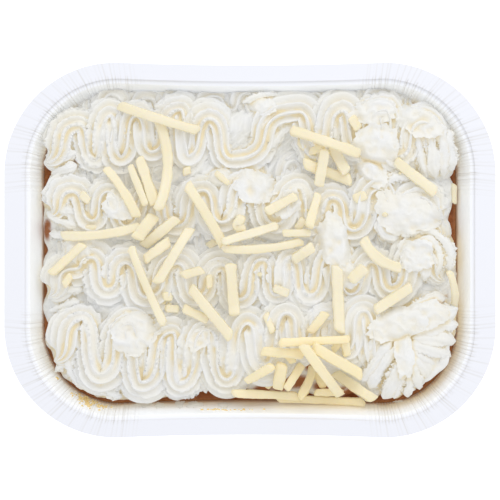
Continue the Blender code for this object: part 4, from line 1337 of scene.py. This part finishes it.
def gravy_of(points, cavity_shade):
    """How brown the mash is: a bell at each gravy spot, only where the mash is deep."""
    x, y, z = points.T
    bells = np.zeros(len(points))
    for spot in GRAVY_SPOTS:
        bells = np.maximum(bells, np.exp(-oval(x, y, *spot)))
    deep = np.maximum(smoothstep(cavity_shade, *GRAVY_CAVITY), smoothstep(z, *GRAVY_LEVELS))
    return smoothstep(bells, *GRAVY_EDGE) * deep


MASH_SUPPORT = {}


def build_mash():
    """The ropes, folds, core and lumps of mash as pieces, with fields for the painted shade in deep places and
    in grooves, and for how brown they are.
    """
    parts = mash_parts()
    clouds = [grid.reshape(-1, 3) for grids in parts.values() for grid, _ in grids]
    xs, ys, field = height_field(clouds)
    levels = [spread_field(field, cells) for cells, *_ in CAVITY_SHADE_SCALES]
    material = shared_material("Mashed potato", mash_material)
    for name, grids in parts.items():
        skin = join_skins([closed_skin(grid) for grid, _ in grids])
        shade_masks = np.concatenate([with_poles(valley) for _, valley in grids])
        # Painted shade: deep places and grooves
        cavity_shade = cavity_of(skin[0], xs, ys, levels) + GROOVE_SHADE * shade_masks ** 2
        fields = {"cavity_shade": cavity_shade, "gravy": gravy_of(skin[0], cavity_shade)}
        add_piece(name, skin, material, ["mash"], fields)
    MASH_SUPPORT["field"] = (xs, ys, field)


def cad_shred(node):
    """Centre line, width and thickness of one CAD shred, whose corners lie in rings square to its length."""
    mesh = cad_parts[node].data
    points = np.zeros(len(mesh.vertices) * 3)
    mesh.vertices.foreach_get("co", points)
    points = np.unique(np.round(points.reshape(-1, 3), 6), axis=0)
    flat = points[:, :2] - points[:, :2].mean(axis=0)
    length_way = np.linalg.svd(flat, full_matrices=False)[2][0]
    far = points[np.argsort(flat @ length_way)]
    chord = (far[-4:, :2].mean(axis=0) - far[:4, :2].mean(axis=0))
    chord /= np.linalg.norm(chord)
    order = np.argsort(points[:, :2] @ chord)
    rings = points[order].reshape(-1, 4, 3)
    centre = rings.mean(axis=1)
    aside = np.array([-chord[1], chord[0]])
    width = np.ptp(rings[0][:, :2] @ aside)
    thickness = np.ptp(rings[2][:, 2])
    return centre, width, thickness


def smooth_line(centre, count):
    """A line through the given points by Catmull-Rom curves, at evenly spaced shares of its points."""
    padded = np.vstack([2 * centre[0] - centre[1], centre, 2 * centre[-1] - centre[-2]])
    place = np.linspace(0, len(centre) - 1 - 1e-9, count)
    base = place.astype(int)
    t = (place - base)[:, None]
    a, b, c, d = (padded[base + step] for step in range(4))
    return 0.5 * (2 * b + (c - a) * t + (2 * a - 5 * b + 4 * c - d) * t ** 2
                  + (3 * b - a - 3 * c + d) * t ** 3)


def shred_grid(line, width, thickness, seed):
    """A grated shred: a rounded rectangle carried along its line, with faint lengthwise grooves, a little
    twist, uneven width and rounded, slanting ends. Gives the grid and its streaks and shade."""
    draw = np.random.default_rng(seed)
    angle = (np.arange(SHRED_SECTION) + 0.5) * 2 * math.pi / SHRED_SECTION
    power = 2 / 5.5
    flat_x = np.sign(np.cos(angle)) * np.abs(np.cos(angle)) ** power
    flat_z = np.sign(np.sin(angle)) * np.abs(np.sin(angle)) ** power
    tangent = np.gradient(line, axis=0)
    tangent /= np.linalg.norm(tangent, axis=1)[:, None]
    side = np.cross((0, 0, 1.0), tangent)
    side /= np.linalg.norm(side, axis=1)[:, None]
    up = np.cross(tangent, side)
    travel = travelled_in_space(line)
    end = np.minimum(travel, travel[-1] - travel)
    blunt = np.sqrt(np.clip(1 - (1 - np.clip(end / (0.45 * thickness), 0, 1)) ** 2, 0.02, 1)) ** 0.8
    twist = draw.uniform(-0.25, 0.25) * (travel / travel[-1] - 0.5) + draw.uniform(-0.12, 0.12)
    wide = 1 + 0.09 * lattice_noise(travel, travel * 0 + seed, 5 * MM, seed)
    grooves = (1 + 0.05 * np.cos(7 * angle + draw.uniform(0, 6))
               + 0.07 * lattice_noise(travel[:, None] + 0 * angle, (angle + seed) * MM, 1.3 * MM, seed + 2))
    half_w = width / 2 * wide[:, None] * blunt[:, None] * grooves
    half_t = thickness / 2 * blunt[:, None] * grooves
    a, b = flat_x * half_w, flat_z * half_t
    cos_t, sin_t = np.cos(twist)[:, None], np.sin(twist)[:, None]
    a, b = a * cos_t - b * sin_t, a * sin_t + b * cos_t
    slant = draw.uniform(-0.55, 0.55)
    skew = a * slant * smoothstep(np.abs(travel / travel[-1] - 0.5), 0.25, 0.5)[:, None]
    points = (line[:, None] + side[:, None] * a[..., None] + up[:, None] * b[..., None]
              + tangent[:, None] * skew[..., None])
    streak_round, streak_along = np.broadcast_to(angle * 1.6, a.shape), travel[:, None] * 60 + 0 * a
    streak = 0.5 + 0.5 * lattice_noise(streak_round, streak_along, 1.0, seed + 1)
    # Painted shade: deeper yellow on the lower side of the shred
    shade = smoothstep(-flat_z, -0.3, 0.9) * np.ones(a.shape)
    return points, streak, shade


def rest_on(field_data, line, width, thickness, highest):
    """Moves a line up or down as a whole until its underside touches the field, less a little sink, but up by
    no more than the highest shift, then raises the field to its top."""
    xs, ys, field = field_data
    tangent = np.gradient(line[:, :2], axis=0)
    tangent /= np.linalg.norm(tangent, axis=1)[:, None]
    reach = np.linspace(-0.45, 0.45, 7) * width
    x = line[:, :1] - tangent[:, 1:] * reach
    y = line[:, 1:2] + tangent[:, :1] * reach
    column, row = nearest_cell(xs, x), nearest_cell(ys, y)
    under = field[column, row].max(axis=1)
    moved = line.copy()
    moved[:, 2] += min((under - (line[:, 2] - thickness / 2)).max() - SHRED_SINK, highest)
    top = np.broadcast_to(moved[:, 2:] + thickness / 2, column.shape)
    np.maximum.at(field, (column, row), top)
    return moved


def scrap_line(field_data, scrap):
    """A short straight line that lies at the mean slope of what is under its two ends."""
    xs, ys, field = field_data
    share = np.linspace(0, 1, SHRED_RINGS // 2)
    x = (scrap[0] + (scrap[2] - scrap[0]) * share) * MM
    y = (scrap[1] + (scrap[3] - scrap[1]) * share) * MM
    smooth = spread_field(field, 3)
    ends = sample_field(xs, ys, smooth, x[[0, -1]], y[[0, -1]])
    steepest = 0.5 * math.hypot(x[-1] - x[0], y[-1] - y[0])
    rise = np.clip(ends[1] - ends[0], -steepest, steepest)
    return np.column_stack([x, y, ends[0] + rise * share])


def build_cheese():
    """All shreds, scraps and crumbs, each laid on what is already there."""
    look = settings()
    xs, ys, field = MASH_SUPPORT["field"]
    top = wall_profile()[0]
    wall = top[1] - (inset_at(*np.meshgrid(xs, ys, indexing="ij")) - top[0]) / math.tan(WALL_SLOPE)
    support = (xs, ys, np.maximum(field, np.clip(wall, FILLING_TOP, TRAY_HEIGHT)))
    material = shared_material("Grated cheese", cheese_material)
    nodes = sorted(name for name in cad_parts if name.startswith("cheese_"))
    skins, streaks, shades = [], [], []

    def add(line, width, thickness, seed):
        points, streak, shade = shred_grid(line, width, thickness, seed)
        heaped = np.hypot(*(line[:, :2].mean(axis=0) - np.array(HEAP_AT) * MM))
        tone = (TONE_SPREAD * np.random.default_rng(seed).uniform()
                + HEAP_TONE * smoothstep(heaped, *HEAP_EDGE))
        # Each shred's own tone, yellower in the heap, joins its painted shade
        shade = shade + tone * (1 - shade)
        skins.append(closed_skin(points))
        streaks.append(with_poles(streak))
        shades.append(with_poles(shade))

    for number, scrap in enumerate(SCRAPS):
        thickness = min(SCRAP_THICKEST, scrap[4] * 0.8) * MM
        line = rest_on(support, scrap_line(support, scrap), scrap[4] * MM, thickness, SCRAP_SHIFT)
        add(line, scrap[4] * MM, thickness, look.shred_seed + SCRAP_SEED + number)
    for number, node in enumerate(nodes):
        centre, width, thickness = cad_shred(node)
        line = rest_on(support, smooth_line(centre, SHRED_RINGS), width, thickness, SHRED_SHIFT)
        add(line, width, thickness, look.shred_seed + number)
    add_piece("cheese_shreds", join_skins(skins), material, nodes,
              {"streak": np.concatenate(streaks), "shade": np.concatenate(shades)})
    smooth = spread_field(support[2], 1)
    crumbs = []
    for number, (x, y, size) in enumerate(CRUMBS):
        height = sample_field(xs, ys, smooth, np.array(x * MM), np.array(y * MM)) + 0.2 * size * MM
        grid = crumb_grid((x * MM, y * MM, float(height)), size * MM, CRUMB_SEED + number)
        crumbs.append(closed_skin(grid))
    add_piece("cheese_crumbs", join_skins(crumbs), material)


def build_filling():
    """The meat as one closed surface: rings inside the tray's outline, with a lumpy top, along the wall."""
    mouth_x, mouth_y, angle = even_mouth(FILLING_COLUMNS)
    edge = wall_inset(FILLING_TOP) / MM + FILLING_CLEARANCE
    insets = np.concatenate([FILLING_RINGS, np.arange(18, edge, -FILLING_PITCH), [edge]])
    rows, edges = [], []

    def ring(inset, height, noisy):
        x, y = ring_inside(mouth_x, mouth_y, angle, inset * MM)
        (high, cell, seed), (low, fine, fine_seed) = FILLING_LUMPS
        lumps = (high * np.abs(lattice_noise(x, y, cell * MM, seed))
                 + low * lattice_noise(x, y, fine * MM, fine_seed))
        rows.append(np.column_stack([x, y, height + noisy * (lumps - 0.55) * MM]))
        # Painted highlight: the outer rings by the wall are lighter
        edges.append(np.full(len(x), smoothstep(-inset, -edge - 1.6, -edge)) * noisy)

    for inset in insets:
        ring(inset, FILLING_TOP - 0.3 * MM, 1.0)
    foot = wall_profile()[1]
    for height in (15 * MM, 10 * MM, foot[1] + 0.3 * MM):
        ring(wall_inset(height) / MM + FILLING_CLEARANCE, height, 0.0)
    ring((foot[0] + FOOT_RADIUS * 0.5) / MM, BOARD + 0.5 * MM, 0.0)
    ring(foot[0] / MM + 4.5, BOARD + 0.3 * MM, 0.0)
    ring(40, BOARD + 0.3 * MM, 0.0)
    skin = closed_skin(np.stack(rows))
    add_piece("meat_filling", skin, shared_material("Meat and gravy", gravy_material), ["filling"],
              {"edge": with_poles(np.stack(edges))})


def build_tray():
    """The tray with its fields: painted grey shade in the creases, inner wall, beige low on the wall that is
    partly stain and partly painted shade, brown stain streaks at the filling.
    """
    skin, crease_shade_masks, walls = tray_skin()
    points = skin[0]
    wall = with_poles(walls)
    streaks = 0.5 + 0.5 * fractal_noise(points[:, 0], points[:, 1], 3.5 * MM, 51)
    clouds = 0.5 + 0.5 * fractal_noise(points[:, 0], points[:, 1], 11 * MM, 57)
    level = points[:, 2] - FILLING_TOP
    # Beige low on the wall: partly stain, partly painted shade and bounce light from the gravy. Towards the
    # front it reaches higher and is stronger, as painted shade.
    near_front = smoothstep(points[:, 0] * 0.5 - points[:, 1], 5 * MM, 60 * MM)
    evenly, cloudy, at_front = TINT_SHARES
    tint = (smoothstep(level, (TINT_REACH[0] + TINT_REACH[1] * near_front) * MM, 0.5 * MM)
            * (evenly + cloudy * clouds + at_front * near_front))
    line = smoothstep(level, (STAIN_REACH[0] + STAIN_REACH[1] * streaks) * MM, 0.2 * MM)
    # Fields: painted crease shade, inner wall, beige of stain and painted shade, brown stain
    fields = {"crease": with_poles(crease_shade_masks) * CREASE_SHADE_STRENGTH, "wall": wall, "depth": wall * tint,
              "stain": wall * line * STAIN_STRENGTH}
    add_piece("tray_shell", skin, shared_material("Coated board", board_material), ["tray"], fields,
              sharp_degrees=50)


def wall_height(x, y):
    """Height of the inner wall above this place in the plan."""
    top, foot = wall_profile()
    return np.clip(top[1] - (inset_at(x, y) - top[0]) / math.tan(WALL_SLOPE), foot[1], top[1])


def smear_grid(smear, seed):
    """A thin patch on the wall, over a polar grid in plan, thickest in the middle, with a ragged outline."""
    centre_x, centre_y, half_x, half_y = (value * MM for value in smear)
    phi, v = polar(*SMEAR_GRID, 0.05)
    ragged = 1 + 0.35 * rim_noise(phi, 2, seed) + 0.15 * rim_noise(phi, 6, seed + 1)
    x = centre_x + half_x * v * ragged * np.cos(phi)
    y = centre_y + half_y * v * ragged * np.sin(phi)
    z = wall_height(x, y)
    grain = 1 + 0.3 * fractal_noise(x, z, 1.5 * MM, seed + 2)
    inwards = (SMEAR_THICKNESS * (1 - v ** 2) + SMEAR_EDGE) * grain
    length = np.hypot(x, y)
    return unmarked(np.stack([x - x / length * inwards, y - y / length * inwards, z], axis=-1))


def crumb_grid(place, size, seed):
    """A crumb: a small ball over a polar grid with a bumpy face."""
    columns, rows = CRUMB_GRID
    phi = np.arange(columns) * 2 * math.pi / columns
    theta = np.linspace(0.25, math.pi - 0.25, rows)[:, None]
    radius = size / 2 * (1 + 0.35 * lattice_noise(phi + theta * 3, theta * 2 + 0 * phi, 1.0, seed))
    return np.stack([place[0] + radius * np.sin(theta) * np.cos(phi) * 1.25,
                     place[1] + radius * np.sin(theta) * np.sin(phi),
                     place[2] + radius * np.cos(theta) * 0.8], axis=-1)


def grease_material():
    """Yellow grains of fat and cheese that dried on the wall, with a weak painted glow."""
    made = PieMaterial("Dried grease", 0.55)
    grain = made.grain(size=900.0, spots=700.0, coarse=0.5)
    tone = made.mix(grain["Spots"], *GREASE_COLOURS)
    made.link(tone, made.shader.inputs["Base Color"])
    # Painted glow that lifts the shade
    made.glow(tone, CHEESE_PAINTED_GLOW)
    return made.material


def build_wall_bits():
    """What clings to the wall: smears of mash, and grains of yellow grease in patches and in a thin line."""
    smears = [smear_grid(smear, SMEAR_SEED + 5 * number) for number, smear in enumerate(SMEARS)]
    skin = join_skins([closed_skin(grid) for grid, _ in smears])
    # The smears get a quarter of the mash's painted valley shade
    add_piece("mash_smears", skin, shared_material("Mashed potato", mash_material), [],
              {"cavity_shade": np.full(len(skin[0]), 0.25)})
    draw = np.random.default_rng(GREASE_SEED)
    grains = []
    for centre_x, centre_y, reach_x, reach_y, turn, count in GREASE:
        for _ in range(count):
            along, aside = draw.normal(0, GREASE_SPREAD, 2) * (reach_x, reach_y)
            x = (centre_x + along * math.cos(turn) - aside * math.sin(turn)) * MM
            y = (centre_y + along * math.sin(turn) + aside * math.cos(turn)) * MM
            place = (x * GREASE_INWARDS, y * GREASE_INWARDS, float(wall_height(x, y)))
            grains.append(crumb_grid(place, draw.uniform(*GREASE_SIZE) * MM, int(draw.integers(900))))
    add_piece("grease_grains", join_skins([closed_skin(grain) for grain in grains]),
              shared_material("Dried grease", grease_material))


class PieOperator:
    """What all of the panel's operators share."""

    bl_options = {"REGISTER", "UNDO"}


class PIE_OT_tray(PieOperator, bpy.types.Operator):
    """Build the pleated board tray"""

    bl_idname = "pie.tray"
    bl_label = "Tray"

    def execute(self, context):
        build_tray()
        return {"FINISHED"}


class PIE_OT_filling(PieOperator, bpy.types.Operator):
    """Build the meat filling"""

    bl_idname = "pie.filling"
    bl_label = "Filling"

    def execute(self, context):
        build_filling()
        return {"FINISHED"}


class PIE_OT_mash(PieOperator, bpy.types.Operator):
    """Build the piped mash: ropes, lumps, the last dollop and the core under them"""

    bl_idname = "pie.mash"
    bl_label = "Mash"

    def execute(self, context):
        build_mash()
        return {"FINISHED"}


class PIE_OT_cheese(PieOperator, bpy.types.Operator):
    """Build the grated cheese on the mash"""

    bl_idname = "pie.cheese"
    bl_label = "Cheese"

    def execute(self, context):
        build_cheese()
        return {"FINISHED"}


class PIE_OT_wall_bits(PieOperator, bpy.types.Operator):
    """Build what clings to the wall: smears of mash and grains of grease"""

    bl_idname = "pie.wall_bits"
    bl_label = "Wall bits"

    def execute(self, context):
        build_wall_bits()
        return {"FINISHED"}


class PIE_OT_stage(PieOperator, bpy.types.Operator):
    """Set up the floor, the light and the camera"""

    bl_idname = "pie.stage"
    bl_label = "Stage"

    def execute(self, context):
        scene = context.scene
        mesh = bpy.data.meshes.new("floor")
        h = FLOOR_HALF
        mesh.from_pydata([(-h, -h, 0), (h, -h, 0), (h, h, 0), (-h, h, 0)], [], [(0, 1, 2, 3)])
        floor = bpy.data.objects.new("floor", mesh)
        scene.collection.objects.link(floor)
        material = PieMaterial("White floor", FLOOR_ROUGHNESS)
        material.shader.inputs["Base Color"].default_value = FLOOR_COLOUR
        material.shader.inputs["Emission Color"].default_value = WHITE
        material.shader.inputs["Emission Strength"].default_value = FLOOR_GLOW
        mesh.materials.append(material.material)
        world = bpy.data.worlds.new("Soft studio")
        world.use_nodes = True
        world.node_tree.nodes["Background"].inputs["Color"].default_value = WHITE
        world.node_tree.nodes["Background"].inputs["Strength"].default_value = SKY_STRENGTH
        scene.world = world
        lamp = bpy.data.lights.new("key", "AREA")
        lamp.shape = "SQUARE"
        lamp.size = KEY_SIZE
        lamp.energy = KEY_POWER
        key = bpy.data.objects.new("key", lamp)
        key.location = KEY_PLACE
        key.rotation_euler = Vector(KEY_PLACE).to_track_quat("Z", "Y").to_euler()
        scene.collection.objects.link(key)
        camera_data = bpy.data.cameras.new("camera")
        camera_data.sensor_width = SENSOR
        camera_data.lens = SENSOR * CAMERA_HEIGHT / VIEW_WIDTH
        camera = bpy.data.objects.new("camera", camera_data)
        camera.location = (0, 0, TRAY_HEIGHT + CAMERA_HEIGHT)
        scene.collection.objects.link(camera)
        scene.camera = camera
        scene.view_settings.view_transform = "Standard"
        return {"FINISHED"}


class PIE_PT_panel(bpy.types.Panel):
    """Lists the steps that build the pie"""

    bl_idname = "PIE_PT_panel"
    bl_label = "Shepherd's Pie"
    bl_space_type = "VIEW_3D"
    bl_region_type = "UI"
    bl_category = "Pie"

    def draw(self, context):
        layout = self.layout
        for operator in OPERATORS:
            layout.operator(operator.bl_idname)
        for name in PieSettings.__annotations__:
            layout.prop(context.scene.pie, name)


OPERATORS = (PIE_OT_stage, PIE_OT_tray, PIE_OT_filling, PIE_OT_mash, PIE_OT_cheese, PIE_OT_wall_bits)
CLASSES = (PieSettings, *OPERATORS, PIE_PT_panel)


def register():
    for kind in CLASSES:
        bpy.utils.register_class(kind)
    bpy.types.Scene.pie = PointerProperty(type=PieSettings)


def unregister():
    del bpy.types.Scene.pie
    for kind in reversed(CLASSES):
        bpy.utils.unregister_class(kind)


def main():
    register()
    bpy.ops.pie.stage()
    bpy.ops.pie.tray()
    bpy.ops.pie.filling()
    bpy.ops.pie.mash()
    bpy.ops.pie.cheese()
    bpy.ops.pie.wall_bits()


if __name__ == "__main__":
    main()
